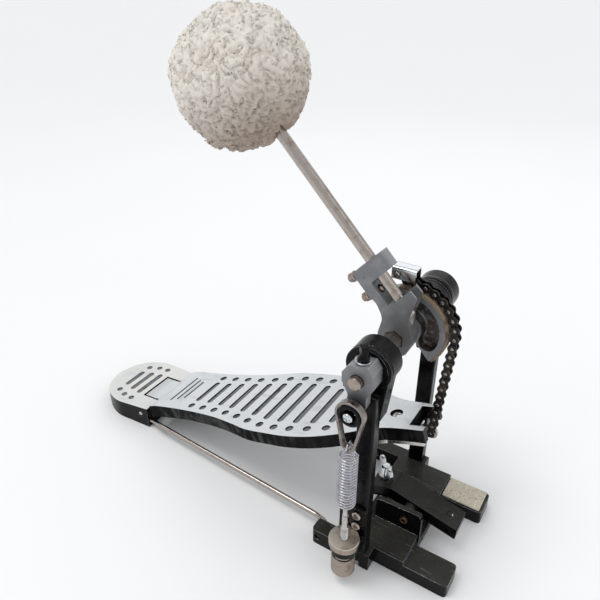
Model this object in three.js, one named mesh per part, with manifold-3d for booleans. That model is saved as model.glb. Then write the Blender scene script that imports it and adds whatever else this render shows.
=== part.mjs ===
// A bass drum pedal: a footboard pulls a chain, the chain turns a wheel on an overhead shaft, and the
// shaft swings a fleece beater forward. Millimetres. +X points at the drum, +Y is the left side as the
// drummer sits, +Z is up. The origin is on the floor, under the shaft, halfway between the uprights.
import * as THREE from 'three';
import { mergeVertices } from 'three/addons/utils/BufferGeometryUtils.js';
import Module from 'manifold-3d';

const wasm = await Module();
wasm.setup();

// ---------------------------------------------------------------------------------- driving sizes
const CLEAR = 0.3; // between pieces that touch
const SHAFT = { height: 156.6, radius: 3.95, hexFlats: 10.4, near: -64, far: 60, hexEnd: 29.5 };
const BEARING = { outer: 11, inner: 4.05, width: 7, ring: 2, face: 46.6 };
const HOUSING = { radius: 14, inner: 31, outer: 47 };
const POST = { rear: -2.3, front: 9, inner: 44.5, outer: 53, foot: 13.9, top: 141.5 };
const BASE = { rear: -8, floor: 7, platform: 13.6, leg: 10.5, step: 32.5, front: 62 };
const LEG = { nearOuter: -44.3, nearInner: -24.8, farInner: 23.6, farOuter: 44.7 };
const LUG = { rear: -31, inner: 42, outer: 53, height: 12.5, holeX: -26.6, holeZ: 6.5 };
const EAR = { front: 33.5, rear: 1, top: 32, thickness: 3.5, nearFace: -20, farFace: 9.7 };
const LEVER = { pinX: 21.7, pinZ: 22.4, halfWidth: 9.2, pinRadius: 2.5, bossRadius: 6, tubeBore: 1.3 };
const WING = { x: -1.8, tip: 7.6, hub: 34.5, hubHeight: 8, stemRadius: 2.8, span: 21, blade: 2.6, lobe: 3.2 };
const POST_SCREW = { x: 3.2, y: 48.7, radius: 2.5, head: 4.4, tip: 32 };

const HINGE = { x: -218, z: 11.5, pinRadius: 2.4, halfLength: 30.5 };
const SLOPE = Math.atan(0.3214); // the footboard's, from the floor
const BOARD = { top: 9.05, skirt: 9.5, skin: 4, wall: 3, length: 258.1, recess: 1.6 };
const NOTCH = { rear: 247.2, near: -10.2, far: 11.3 };
const ROW = { first: 59.3, pitch: 13.34, slotHalfWidth: 2.5, dotRadius: 3 };
const TONGUE = { rear: -9, halfWidth: 14.6, gap: 0.6 };
const TOE_SCREW = { x: 233.4, y: 0.6, radius: 2.3, head: 4, countersink: 4.35 };
const HEEL = { rear: -275, front: -209.6, rise: 0.095, topAtRear: 13.4, skin: 4, wall: 3.2 };
const HEEL_ROW = { slotHalfWidth: 2.3, dotRadius: 2.6 };
const RADIUS_ROD = { radius: 1.9, heelY: 27, midY: 30, lugY: 39.4, tipY: 51.5, heelZ: 6 };

const CHAIN = { pitch: 6.35, centreY: 7.9, plate: 0.7, pinRadius: 1.1, rollerRadius: 1.65, plateRadius: 2.9 };
const LINKS = { first: -1, lastOnWheel: 7, last: 18, outerHalf: 2.7, innerHalf: 1.85 };
const WHEEL = {
  pinCircle: 30.3, firstPin: 83.8, near: 3.4, far: 12.6, web: 2.4, rimOuter: 25.4, rimInner: 22.4,
  hub: 9.3, start: -48, end: 122,
};
const LEAN = 0.085; // of the hanging chain, from plumb
const FELT = { inner: 25.6, outer: 27.1, start: -46, end: 104 };
const CLIP = { halfWidth: 4.7, wall: 1.2, rivet: [-8.2, 34.3], rivetRadius: 1.2 };
const TOE_EYE = { x: 251.33, z: -8.34, hole: 2.7, radius: 4.4 };

const BEATER = { planeY: -8, rodRadius: 3.5, angle: Math.atan2(0.727, 0.687), top: -16, foot: 168 };
const BALL = { x: -107.9, z: 139.1, radius: 40, shell: 8.7 }; // z from the shaft
const HOLDER = { near: -13, far: -2.9 };
const KEY_SCREW = { radius: 2.3, bore: 2.8, head: 3.1, headLength: 5.5 };

const HUB = { outerY: -60, innerY: -54, sleeveY: -48 };
const HUB_SCREW = { at: [0.4, -54], radius: 2.2, washer: 4.7, washerLow: 10.1, washerHigh: 11.2 };
const SPRING = { y: -65.5, hook: 62.5, top: 112, radius: 6.1, wire: 0.75, swivelZ: -19 };
const DISC = { radius: 7.1, bore: 3.9, near: -68.1, far: -60.6 };
const STRAP = { near: -67.6, far: -63.4, drop: 20.5, upper: 9, lower: 5, upperInner: 7.5, lowerInner: 3.2 };
const TENSION = { radius: 2.4, bottom: 12, plateLow: 27.3, plateHigh: 32.5, hookWire: 1.5 };
const NUT = { upper: 9.8, upperTop: 37, lower: 7.75, lowerFoot: 9, lowerTop: 23.5 };
const NUT_WASHER = { radius: 6.6, low: 24, high: 26.9 };
const BRACKET = { rear: -9, front: 9, near: -55.3, far: -53.3, low: 24, high: 55, screwX: 3.2 };
const BRACKET_SCREWS = [41, 50];

// -------------------------------------------------------------------------------------- materials
function finish(color, roughness, metalness) {
  return new THREE.MeshStandardMaterial({ color, roughness, metalness });
}
const PAINT = {
  black: finish(0x111112, 0.3, 0.2),
  aluminium: finish(0xc9cbcc, 0.35, 0.9),
  castGrey: finish(0x77797c, 0.5, 0.6),
  steel: finish(0xa8a6a2, 0.25, 1),
  chrome: finish(0xd8dadc, 0.12, 1),
  nickel: finish(0xa09488, 0.28, 1),
  chain: finish(0x1b1a1a, 0.35, 0.8),
  felt: finish(0xb39a72, 0.95, 0),
  pad: finish(0xd6cbb0, 0.9, 0),
  fleece: finish(0xe6e0d6, 1, 0),
  core: finish(0x9a7b52, 0.8, 0),
};

// ---------------------------------------------------------------------------------------- helpers
function solid(geometry) {
  const bare = geometry.index ? geometry.toNonIndexed() : geometry.clone();
  bare.deleteAttribute('normal');
  bare.deleteAttribute('uv');
  const merged = mergeVertices(bare, 1e-4);
  const vertProperties = merged.attributes.position.array;
  const triVerts = new Uint32Array(merged.index.array);
  return new wasm.Manifold(new wasm.Mesh({ numProp: 3, vertProperties, triVerts }));
}

function geometryOf(manifold) {
  const { numProp, numVert, vertProperties, triVerts } = manifold.getMesh();
  const positions = new Float32Array(numVert * 3);
  for (let i = 0; i < numVert; i++) {
    positions.set(vertProperties.subarray(i * numProp, i * numProp + 3), i * 3);
  }
  const geometry = new THREE.BufferGeometry();
  geometry.setAttribute('position', new THREE.BufferAttribute(positions, 3));
  geometry.setIndex(new THREE.BufferAttribute(new Uint32Array(triVerts), 1));
  geometry.computeVertexNormals();
  return geometry;
}

const join = (...solids) => solids.flat().reduce((sum, next) => sum.add(next));
const cut = (body, ...tools) => tools.flat().reduce((rest, tool) => rest.subtract(tool), body);
const outline = (points) => new THREE.Shape(points.map(([a, b]) => new THREE.Vector2(a, b)));
const flat = (depth) => ({ depth, bevelEnabled: false, curveSegments: 6 });

// An outline in X and Y, standing from z0 to z1.
const slab = (shape, z0, z1) => solid(new THREE.ExtrudeGeometry(shape, flat(z1 - z0)).translate(0, 0, z0));

// An outline in X and Z, reaching from y0 to y1.
function sideSlab(shape, y0, y1) {
  return solid(new THREE.ExtrudeGeometry(shape, flat(y1 - y0)).rotateX(Math.PI / 2).translate(0, y1, 0));
}

function block([x0, x1], [y0, y1], [z0, z1]) {
  const box = new THREE.BoxGeometry(x1 - x0, y1 - y0, z1 - z0);
  return solid(box.translate((x0 + x1) / 2, (y0 + y1) / 2, (z0 + z1) / 2));
}

// A round bar along an axis, between two places on it; at gives its centre on the other two axes.
function bar(axis, radius, from, to, at = [0, 0], sides = 20) {
  const cylinder = new THREE.CylinderGeometry(radius, radius, to - from, sides);
  cylinder.translate(0, (from + to) / 2, 0);
  if (axis === 'y') return solid(cylinder.translate(at[0], 0, at[1]));
  if (axis === 'z') return solid(cylinder.rotateX(Math.PI / 2).translate(at[0], at[1], 0));
  return solid(cylinder.rotateZ(-Math.PI / 2).translate(0, at[0], at[1]));
}

// A round wire along straight runs, each a little longer than its corners so that the runs meet.
function wire(points, radius, sides = 8) {
  const places = points.map((p) => new THREE.Vector3(...p));
  return join(places.slice(1).map((to, i) => {
    const from = places[i];
    const spare = to.clone().sub(from).setLength(radius * 0.5);
    const start = i > 0 ? from.clone().sub(spare) : from;
    const end = i < places.length - 2 ? to.clone().add(spare) : to;
    return rodBetween(start.toArray(), end.toArray(), radius, sides);
  }));
}

// A straight round bar between two places.
function rodBetween(a, b, radius, sides = 20) {
  const [from, to] = [new THREE.Vector3(...a), new THREE.Vector3(...b)];
  const along = to.clone().sub(from);
  const cylinder = new THREE.CylinderGeometry(radius, radius, along.length(), sides);
  const upright = new THREE.Vector3(0, 1, 0);
  cylinder.applyQuaternion(new THREE.Quaternion().setFromUnitVectors(upright, along.normalize()));
  const middle = from.add(to).multiplyScalar(0.5);
  return solid(cylinder.translate(middle.x, middle.y, middle.z));
}

// A round-ended slot across the board, reaching that far to each side of y, or a dot when reach is 0.
function slot(x, y, reach, radius, segments = 8) {
  const points = [];
  for (let i = 0; i <= segments; i++) {
    const angle = (Math.PI * i) / segments;
    points.push([x + radius * Math.cos(angle), y + reach + radius * Math.sin(angle)]);
  }
  for (let i = 0; i <= segments; i++) {
    const angle = Math.PI + (Math.PI * i) / segments;
    points.push([x + radius * Math.cos(angle), y - reach + radius * Math.sin(angle)]);
  }
  return outline(reach ? points : points.filter((_, i) => i % (segments + 1) !== segments));
}

// A symmetrical plan outline from a smooth edge of [x, half width] points, shrunk by inset.
function plan(edge, samples, inset = 0) {
  const curve = new THREE.SplineCurve(edge.map(([x, y]) => new THREE.Vector2(x, y)));
  const side = curve.getSpacedPoints(samples).map(({ x, y }) => [x, y - inset]);
  return outline([...side, ...side.map(([x, y]) => [x, -y]).reverse()]);
}

const pedal = new THREE.Group();
function group(parent, x, y, z) {
  const made = new THREE.Group();
  made.position.set(x, y, z);
  parent.add(made);
  return made;
}
function piece(parent, name, manifold, material) {
  const mesh = new THREE.Mesh(geometryOf(manifold), material);
  mesh.name = name;
  parent.add(mesh);
}

// ------------------------------------------------------------------------------------------- base
const SHELF = 19.7; // each platform's inner edge
const LUG_FRONT = 12;

// A lever ear, with its front corner cut off.
function earProfile(rear, rearTop, frontTop, front) {
  const foot = BASE.floor - 1;
  const corner = 3;
  return outline([
    [rear, foot], [front, foot], [front, frontTop - corner], [front - corner, frontTop], [rear, rearTop],
  ]);
}

function baseCasting() {
  const parts = [block([BASE.rear, EAR.front], [LEG.nearOuter, LEG.farOuter], [0, BASE.floor])];
  for (const across of [[LEG.nearOuter, LEG.nearInner], [LEG.farInner, LEG.farOuter]]) {
    const shelf = across[0] < 0 ? [across[0], -SHELF] : [SHELF, across[1]];
    parts.push(block([BASE.rear, BASE.step], shelf, [0, BASE.platform]));
    const leg = new THREE.Shape();
    const corner = 2.5;
    leg.moveTo(BASE.step - 1, across[0]).lineTo(BASE.front - corner, across[0]);
    leg.quadraticCurveTo(BASE.front, across[0], BASE.front, across[0] + corner);
    leg.lineTo(BASE.front, across[1] - corner);
    leg.quadraticCurveTo(BASE.front, across[1], BASE.front - corner, across[1]);
    leg.lineTo(BASE.step - 1, across[1]);
    parts.push(slab(leg, 0, BASE.leg));
  }
  for (const side of [-1, 1]) {
    const across = side < 0 ? [-LUG.outer, -LUG.inner] : [LUG.inner, LUG.outer];
    parts.push(block([LUG.rear, LUG_FRONT], across, [0, LUG.height]));
    parts.push(block([BASE.rear + 3, LUG_FRONT], across, [0, BASE.platform]));
  }
  const near = earProfile(EAR.rear, 30.5, EAR.top, EAR.front);
  const far = earProfile(EAR.rear + 8, 29.5, 26.5, EAR.front - 0.5);
  parts.push(sideSlab(near, EAR.nearFace, EAR.nearFace + EAR.thickness));
  parts.push(sideSlab(far, EAR.farFace, EAR.farFace + EAR.thickness));
  const tools = [bar('y', LEVER.pinRadius + CLEAR, -30, 30, [LEVER.pinX, LEVER.pinZ])];
  for (const side of [-1, 1]) {
    const ends = [side * (LUG.inner - 1), side * (LUG.outer + 1)].sort((a, b) => a - b);
    tools.push(bar('y', RADIUS_ROD.radius + CLEAR, ...ends, [LUG.holeX, LUG.holeZ], 12));
    const screw = [POST_SCREW.x, side * POST_SCREW.y];
    tools.push(bar('z', POST_SCREW.radius + CLEAR, -1, BASE.platform + 1, screw, 12));
    tools.push(bar('z', POST_SCREW.head + 0.4, -1, 4.3, screw, 12));
  }
  return cut(join(parts), tools);
}

function lever() {
  const { pinX, pinZ, halfWidth, pinRadius, bossRadius } = LEVER;
  const profile = outline([
    [-10, 19], [-10, 27.6], [6, 33], [54.6, 22], [54.1, 13.1], [47, 14.8], [14, 22.6], [5.5, 24.1],
  ]);
  const body = sideSlab(profile, -halfWidth, halfWidth);
  const boss = bar('y', bossRadius, EAR.nearFace + EAR.thickness + CLEAR, halfWidth, [pinX, pinZ - 0.4]);
  const pinBore = bar('y', pinRadius + CLEAR, -30, 30, [pinX, pinZ]);
  return cut(join(body, boss), pinBore, bar('z', WING.stemRadius + CLEAR, 10, 40, [WING.x, 0], 16));
}

function leverPin() {
  const ends = [EAR.nearFace - 0.5, EAR.farFace + EAR.thickness];
  const tube = bar('y', LEVER.pinRadius, ...ends, [LEVER.pinX, LEVER.pinZ]);
  return cut(tube, bar('y', LEVER.tubeBore, ends[0] - 1, ends[0] + 8, [LEVER.pinX, LEVER.pinZ], 12));
}

function wingScrew() {
  const stem = bar('z', WING.stemRadius, WING.tip, WING.hub + 1, [WING.x, 0], 16);
  const cone = new THREE.CylinderGeometry(3.6, 5, WING.hubHeight, 16).rotateX(Math.PI / 2);
  const hub = solid(cone.translate(WING.x, 0, WING.hub + WING.hubHeight / 2));
  const centre = WING.span / 2 - WING.lobe;
  const shape = new THREE.Shape();
  shape.moveTo(-3, 1).lineTo(3, 1).lineTo(centre + 0.2, 4).absarc(centre, 7.2, WING.lobe, -1.4, 2.6);
  shape.lineTo(2, 6.5).lineTo(-2, 6.5).absarc(-centre, 7.2, WING.lobe, 0.54, 4.54);
  const wings = new THREE.ExtrudeGeometry(shape, flat(WING.blade)).rotateX(Math.PI / 2);
  wings.translate(0, WING.blade / 2, WING.hub - 1).rotateZ(-Math.PI / 4).translate(WING.x, 0, 0);
  return join(stem, hub, solid(wings));
}

// --------------------------------------------------------------------------------------- uprights
function upright(side) {
  const span = (a, b) => [side * a, side * b].sort((p, q) => p - q);
  const post = block([POST.rear, POST.front], span(POST.inner, POST.outer), [POST.foot, POST.top]);
  const gusset = outline([[POST.rear, 122], [POST.front, 122], [12.6, 151], [-12, 151]]);
  const ring = bar('y', HOUSING.radius, ...span(HOUSING.inner, HOUSING.outer), [0, SHAFT.height], 24);
  const wedge = sideSlab(gusset, ...span(36, HOUSING.outer - 0.01));
  const seat = span(BEARING.face - BEARING.width - CLEAR, HOUSING.outer + 1);
  const tapped = side < 0 ? bracketHoles(-54, -47) : [];
  const screw = [POST_SCREW.x, side * POST_SCREW.y];
  return cut(
    join(post, ring, wedge), tapped,
    bar('y', BEARING.outer + 0.2, ...seat, [0, SHAFT.height], 20),
    bar('y', 8, ...span(HOUSING.inner - 1, 45), [0, SHAFT.height], 16),
    bar('z', POST_SCREW.radius + CLEAR, POST.foot - 1, POST_SCREW.tip + 2, screw, 12),
  );
}

function uprightScrew(side) {
  const at = [POST_SCREW.x, side * POST_SCREW.y];
  const shank = bar('z', POST_SCREW.radius, 1, POST_SCREW.tip, at, 12);
  return join(shank, bar('z', POST_SCREW.head, 0.6, 4, at, 12));
}

function bearingRing(side, outer, inner, width) {
  const middle = side * (BEARING.face - BEARING.width / 2);
  const ends = [middle - width / 2, middle + width / 2];
  return cut(bar('y', outer, ...ends, [0, 0], 18), bar('y', inner, ends[0] - 1, ends[1] + 1, [0, 0], 18));
}

// ------------------------------------------------------------------------------- heel and footboard
// Along the heel plate, and the half width there.
const HEEL_EDGE = [
  [HEEL.rear, 2], [-271, 14.5], [-264, 23.5], [-255, 29], [-243, 32.2], [-228, 31.4], [HEEL.front, 30],
];
// Each row of the heel: its place, how far its slot reaches to each side, and where its two dots are.
const HEEL_ROWS = [[-254.3, 9, 19.1], [-244.7, 11.8, 22.7], [-235.1, 13.4, 23.5]];

function heelTop(drop) {
  const topAt = (x) => HEEL.topAtRear + HEEL.rise * (x - HEEL.rear) - drop;
  return outline([[-280, -1], [-200, -1], [-200, topAt(-200)], [-280, topAt(-280)]]);
}

function heelPlate() {
  const body = slab(plan(HEEL_EDGE, 16), 0, 30).intersect(sideSlab(heelTop(0), -40, 40));
  const within = slab(plan(HEEL_EDGE.slice(1), 14, HEEL.wall), -1, 30);
  const hollow = within.intersect(sideSlab(heelTop(HEEL.skin), -40, 40)).intersect(
    block([-267, -231], [-40, 40], [-2, 30]));
  const recesses = HEEL_ROWS.flatMap(([x, reach, dot]) => [
    slot(x, 0, reach, HEEL_ROW.slotHalfWidth, 4),
    slot(x, dot, 0, HEEL_ROW.dotRadius, 4),
    slot(x, -dot, 0, HEEL_ROW.dotRadius, 4),
  ]);
  const above = cut(block([-280, -200], [-40, 40], [5, 40]), sideSlab(heelTop(BOARD.recess), -41, 41));
  const holes = join(recesses.map((shape) => slab(shape, 5, 40))).intersect(above);
  const mouthY = TONGUE.halfWidth + TONGUE.gap;
  const mouth = block([HINGE.x + TONGUE.rear, -200], [-mouthY, mouthY], [-1, 40]);
  const tools = [hollow, holes, mouth, bar('y', HINGE.pinRadius + 0.2, -40, 40, [HINGE.x, HINGE.z])];
  for (const side of [-1, 1]) {
    const at = [side * RADIUS_ROD.heelY, RADIUS_ROD.heelZ];
    tools.push(bar('x', RADIUS_ROD.radius + CLEAR, -215, -200, at, 12));
  }
  return cut(body, tools);
}

// Along the board from the hinge, and the half width there.
const BOARD_EDGE = [
  [13, 28.2], [53, 28], [89, 30.6], [114, 35.3], [131, 39.2], [150, 40], [168, 39.7], [187, 36.2],
  [206, 28.8], [221, 20.6], [232, 16.6], [245, 15.1], [BOARD.length, 14.6],
];

// The board's top line and, below it by drop, its underside.
function boardSide(drop, from = 13) {
  const bend = new THREE.QuadraticBezierCurve(
    new THREE.Vector2(9.6, 5.8), new THREE.Vector2(17, 9.05), new THREE.Vector2(29, BOARD.top));
  const top = bend.getPoints(5).map(({ x, y }) => [x, y]).filter(([x]) => x > from - 4);
  const upper = [...top, [BOARD.length, BOARD.top]];
  const foot = BOARD.top - drop;
  return outline([...upper, [BOARD.length, foot], [60, foot], [30, foot - 1], [from - 3.4, -3]]);
}

// Half lengths of the slots and places of the dots beside them, from the heel end on.
const BOARD_SLOTS = [14.4, 14.7, 16, 17.8, 20, 22.5, 25, 25.7, 24.7, 22.3, 18.6];
const BOARD_DOTS = [21, 21.7, 22.7, 24, 26.1, 29.3, 31.6, 32.2, 31.2, 28.7, 25];

function boardRecesses() {
  const shapes = BOARD_DOTS.flatMap((dot, row) => {
    const x = ROW.first + ROW.pitch * row;
    const reach = BOARD_SLOTS[row] - ROW.slotHalfWidth;
    return [
      slot(x, dot, 0, ROW.dotRadius, 4), slot(x, -dot, 0, ROW.dotRadius, 4),
      slot(x, 0, reach, ROW.slotHalfWidth, 4),
    ];
  });
  return join(shapes.map((shape) => slab(shape, BOARD.top - BOARD.recess, BOARD.top + 2)));
}

function footboard() {
  const shell = slab(plan(BOARD_EDGE, 26), -10, 20).intersect(sideSlab(boardSide(BOARD.skirt), -45, 45));
  const under = slab(plan(BOARD_EDGE, 20, BOARD.wall), -12, BOARD.top - BOARD.skin);
  const hollow = cut(under.intersect(block([30, 226], [-45, 45], [-12, 20])), [80, 130, 180].map(
    (x) => block([x, x + 3], [-45, 45], [0, 20])));
  const tongueSide = outline([[-5.7, 8.4], [6, 5.8], [16, 6], [16, -3.5], [0, -5.6], [-9.3, -2.8]]);
  const tongue = sideSlab(tongueSide, -TONGUE.halfWidth, TONGUE.halfWidth);
  return cut(
    join(shell, tongue), hollow, boardRecesses(),
    block([NOTCH.rear, 270], [NOTCH.near, NOTCH.far], [-20, 20]),
    bar('y', HINGE.pinRadius + 0.2, -20, 20),
    bar('z', TOE_SCREW.radius + 0.5, -12, 20, TOE_AT, 16),
    bar('z', TOE_SCREW.countersink, BOARD.top - 4, 20, TOE_AT, 16),
  );
}

const TOE_AT = [TOE_SCREW.x, TOE_SCREW.y];

function toeBracket() {
  const strip = slab(outline([
    [214, -13], [256, -13], [256, -10.6], [246.5, -9.5], [246.5, 11], [244, 13], [214, 13],
  ]), -2.75, -0.75);
  const { x, z, radius, hole } = TOE_EYE;
  const lug = new THREE.Shape();
  lug.moveTo(233, -2.7).lineTo(x - 8, z - 4.2).absarc(x, z, radius, -1.9, 1.8).lineTo(245.5, -2.7);
  const ear = sideSlab(lug, CHAIN.centreY - 1, CHAIN.centreY + 1);
  const screwHole = bar('z', TOE_SCREW.radius + 0.5, -5, 2, TOE_AT, 16);
  return cut(join(strip, ear), bar('y', hole, 0, 20, [x, z], 16), screwHole);
}

function toeScrew() {
  const cone = new THREE.CylinderGeometry(3.2, TOE_SCREW.head, 2.4, 16).rotateX(Math.PI / 2);
  const head = solid(cone.translate(...TOE_AT, 6.6));
  return join(head, bar('z', TOE_SCREW.radius, -7.5, 6, TOE_AT, 16));
}

function toeNut() {
  return cut(bar('z', 4.4, -6.4, -3.05, TOE_AT, 6), bar('z', TOE_SCREW.radius + CLEAR, -8, 0, TOE_AT, 16));
}

// From its hole in the heel plate, out to the side and along to its hole in the lug.
function radiusRod(side) {
  const { radius, heelY, midY, lugY, tipY, heelZ } = RADIUS_ROD;
  const path = [
    [-214, heelY, heelZ], [-205.5, heelY, heelZ], [-196, midY, 9], [-34, lugY, 10.4],
    [LUG.holeX, lugY, LUG.holeZ], [LUG.holeX, tipY, LUG.holeZ],
  ];
  return wire(path.map(([x, y, z]) => [x, side * y, z]), radius);
}

// ------------------------------------------------------------------------ shaft, wheel and beater
// A hexagonal bar on the shaft's line, by its size across flats.
const hexagon = (flats, from, to) => bar('y', flats / Math.sqrt(3), from, to, [0, 0], 6);

function shaft() {
  return join(
    bar('y', SHAFT.radius, SHAFT.near, SHAFT.far, [0, 0], 16),
    hexagon(SHAFT.hexFlats, -SHAFT.hexEnd, SHAFT.hexEnd),
  );
}

// A head block and a foot block on the rod, joined behind it by an arm. The foot is open in front of the rod.
function beaterHolder() {
  const body = outline([
    [-29.3, 36.4], [-12, 55], [-4.2, 47.8], [-16.8, 33.7], [-4.6, 21.4], [7.1, 35.1], [11.6, 31], [8.1, 18.1],
    [8.3, 11], [11.4, 2], [8.1, -9.2], [-2, -11.2], [-9.8, -5.6], [-10.5, 2], [-8, 12.7], [-12.8, 21.5],
    [-17.5, 24.1], [-23.8, 30.7],
  ]);
  const bore = BEATER.rodRadius + CLEAR;
  const [start, end] = [onRod(150), onRod(182)];
  const channel = outline([
    [start[0], start[2]], [end[0], end[2]], [end[0] + 20, end[2] + 20], [start[0] + 20, start[2] + 20],
  ]);
  return cut(
    sideSlab(body, HOLDER.near, HOLDER.far),
    sideSlab(channel, BEATER.planeY - bore, BEATER.planeY + bore),
    rodBetween(onRod(60), onRod(200), bore, 14),
    hexagon(SHAFT.hexFlats + 2 * CLEAR, -20, 0),
    HOLDER_SCREWS.map(({ from, to }) => rodBetween(from, to, KEY_SCREW.bore, 12)),
  );
}

// The rod's own line: through the ball's centre, sloping down to the front.
const ALONG = [Math.cos(BEATER.angle), -Math.sin(BEATER.angle)];
const onRod = (distance) => [BALL.x + distance * ALONG[0], BEATER.planeY, BALL.z + distance * ALONG[1]];

// Both key screws are square to the rod and meet it from behind.
const HOLDER_SCREWS = [['upper', -32.6, 29.6], ['lower', -22.8, 19.4]].map(([word, x, z]) => {
  const across = [-ALONG[1], ALONG[0]];
  const gap = (BALL.x - x) * across[0] + (BALL.z - z) * across[1];
  const at = (distance) => [x + distance * across[0], BEATER.planeY, z + distance * across[1]];
  return { word, from: at(0), to: at(gap - BEATER.rodRadius - CLEAR), head: at(KEY_SCREW.headLength) };
});

function keyScrew({ from, to, head }) {
  return join(rodBetween(from, to, KEY_SCREW.radius, 12), rodBetween(from, head, KEY_SCREW.head, 4));
}

function ball(radius, around, down) {
  const sphere = new THREE.SphereGeometry(radius, around, down);
  return solid(sphere.translate(BALL.x, BEATER.planeY, BALL.z));
}

function fleeceBall() {
  const neck = rodBetween(onRod(0), onRod(60), BEATER.rodRadius + 2.5);
  return cut(ball(BALL.radius, 18, 10), ball(BALL.radius - BALL.shell, 12, 8), neck);
}

function ballCore() {
  const bore = rodBetween(onRod(-18), onRod(60), BEATER.rodRadius + CLEAR);
  return cut(ball(BALL.radius - BALL.shell - 0.8, 12, 8), bore);
}

// Part of a ring about the shaft, between two angles and two places along it.
function ringSector(inner, outer, from, to, y0, y1, steps = 9) {
  const shape = new THREE.Shape();
  const [a, b] = [THREE.MathUtils.degToRad(from), THREE.MathUtils.degToRad(to)];
  shape.absarc(0, 0, outer, a, b, false);
  shape.absarc(0, 0, inner, b, a, true);
  const settings = { depth: y1 - y0, bevelEnabled: false, curveSegments: steps };
  return solid(new THREE.ExtrudeGeometry(shape, settings).rotateX(Math.PI / 2).translate(0, y1, 0));
}

function chainWheel() {
  const { near, far, rimInner, rimOuter, start, end } = WHEEL;
  const rim = ringSector(rimInner, rimOuter, start, end, near, far);
  const web = ringSector(7, rimInner + 0.5, start, end, far - WHEEL.web, far);
  const hub = bar('y', WHEEL.hub, HOLDER.far + CLEAR, far, [0, 0], 24);
  const rib = sideSlab(outline([[-13, 3], [-6, 6], [-1, 23.4], [-12, 21]]), near, far);
  const brace = sideSlab(outline([[7.5, -5.5], [4, -8], [16, -20.6], [17.4, -16.4]]), near, far);
  return cut(join(rim, web, hub, rib, brace), hexagon(SHAFT.hexFlats + 2 * CLEAR, -10, 20));
}

function feltStrip() {
  return ringSector(FELT.inner, FELT.outer, FELT.start, FELT.end, WHEEL.near + 0.4, WHEEL.far - 0.4);
}

// ------------------------------------------------------------------------------------------ chain
const STEP = 2 * Math.asin(CHAIN.pitch / 2 / WHEEL.pinCircle);

// Pin k of the chain: on the wheel at first, and then hanging in a straight line.
function pinAt(k) {
  const angle = THREE.MathUtils.degToRad(WHEEL.firstPin) - Math.min(k, LINKS.lastOnWheel) * STEP;
  const below = Math.max(k - LINKS.lastOnWheel, 0) * CHAIN.pitch;
  return [
    WHEEL.pinCircle * Math.cos(angle) - below * Math.sin(LEAN),
    WHEEL.pinCircle * Math.sin(angle) - below * Math.cos(LEAN),
  ];
}

// One side plate between two pins: two round ends and a straight waist.
function linkPlate(k, y0, y1, segments = 4) {
  const [[ax, az], [bx, bz]] = [pinAt(k), pinAt(k + 1)];
  const turn = Math.atan2(bz - az, bx - ax);
  const shape = new THREE.Shape();
  const r = CHAIN.plateRadius;
  shape.absarc(ax, az, r, turn + 0.9, turn - 0.9 + 2 * Math.PI, false);
  shape.absarc(bx, bz, r, turn + Math.PI + 0.9, turn + 3 * Math.PI - 0.9, false);
  const settings = { depth: y1 - y0, bevelEnabled: false, curveSegments: segments };
  return solid(new THREE.ExtrudeGeometry(shape, settings).rotateX(Math.PI / 2).translate(0, y1, 0));
}

const chainPin = (k, radius, half, sides = 8) =>
  bar('y', radius, CHAIN.centreY - half, CHAIN.centreY + half, pinAt(k), sides);

// Outer links carry two pins in two outer plates. Inner links carry two bored rollers in two inner plates.
function linkPlates(k, half) {
  const { centreY: y, plate } = CHAIN;
  return [linkPlate(k, y - half, y - half + plate), linkPlate(k, y + half - plate, y + half)];
}
function outerLink(k) {
  const pins = [chainPin(k, CHAIN.pinRadius, 3), chainPin(k + 1, CHAIN.pinRadius, 3)];
  return join(linkPlates(k, LINKS.outerHalf), pins);
}
function innerLink(k) {
  const rollers = [chainPin(k, CHAIN.rollerRadius, 1.2), chainPin(k + 1, CHAIN.rollerRadius, 1.2)];
  const bores = [chainPin(k, CHAIN.pinRadius + 0.2, 4), chainPin(k + 1, CHAIN.pinRadius + 0.2, 4)];
  return cut(join(linkPlates(k, LINKS.innerHalf), rollers), bores);
}
const link = (k) => (k % 2 === 0 ? outerLink(k) : innerLink(k));

// Several links in one: the first and the last two are true links, and those between are closed up solid.
function chainRun(first, last) {
  const half = LINKS.outerHalf;
  const parts = [link(first), link(last - 1), link(last), chainPin(last, CHAIN.rollerRadius, half)];
  for (let k = first + 1; k < last - 1; k++) {
    parts.push(linkPlate(k, CHAIN.centreY - half, CHAIN.centreY + half, 3));
  }
  return join(parts);
}

// A saddle over the chain's top end, open below and at both ends.
function chainClip() {
  const across = (half) => [CHAIN.centreY - half, CHAIN.centreY + half];
  const side = outline([[-11.5, 31.2], [3.6, 31.8], [3.6, 36.6], [2.4, 39.6], [-10.4, 39], [-11.5, 37.4]]);
  const saddle = sideSlab(side, ...across(CLIP.halfWidth));
  const below = outline([[-13, 20], [5, 20], [5, 37.4], [-13, 36.8]]);
  const inside = sideSlab(below, ...across(CLIP.halfWidth - CLIP.wall));
  return cut(saddle, inside, bar('y', CLIP.rivetRadius + CLEAR, -5, 20, CLIP.rivet, 10));
}

function clipRivet() {
  const { rivet, rivetRadius } = CLIP;
  return join(
    bar('y', rivetRadius, CHAIN.centreY - 5.6, CHAIN.centreY + 5.6, rivet, 10),
    bar('y', rivetRadius + 1, CHAIN.centreY - 6, CHAIN.centreY - 5, rivet, 10),
  );
}

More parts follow.
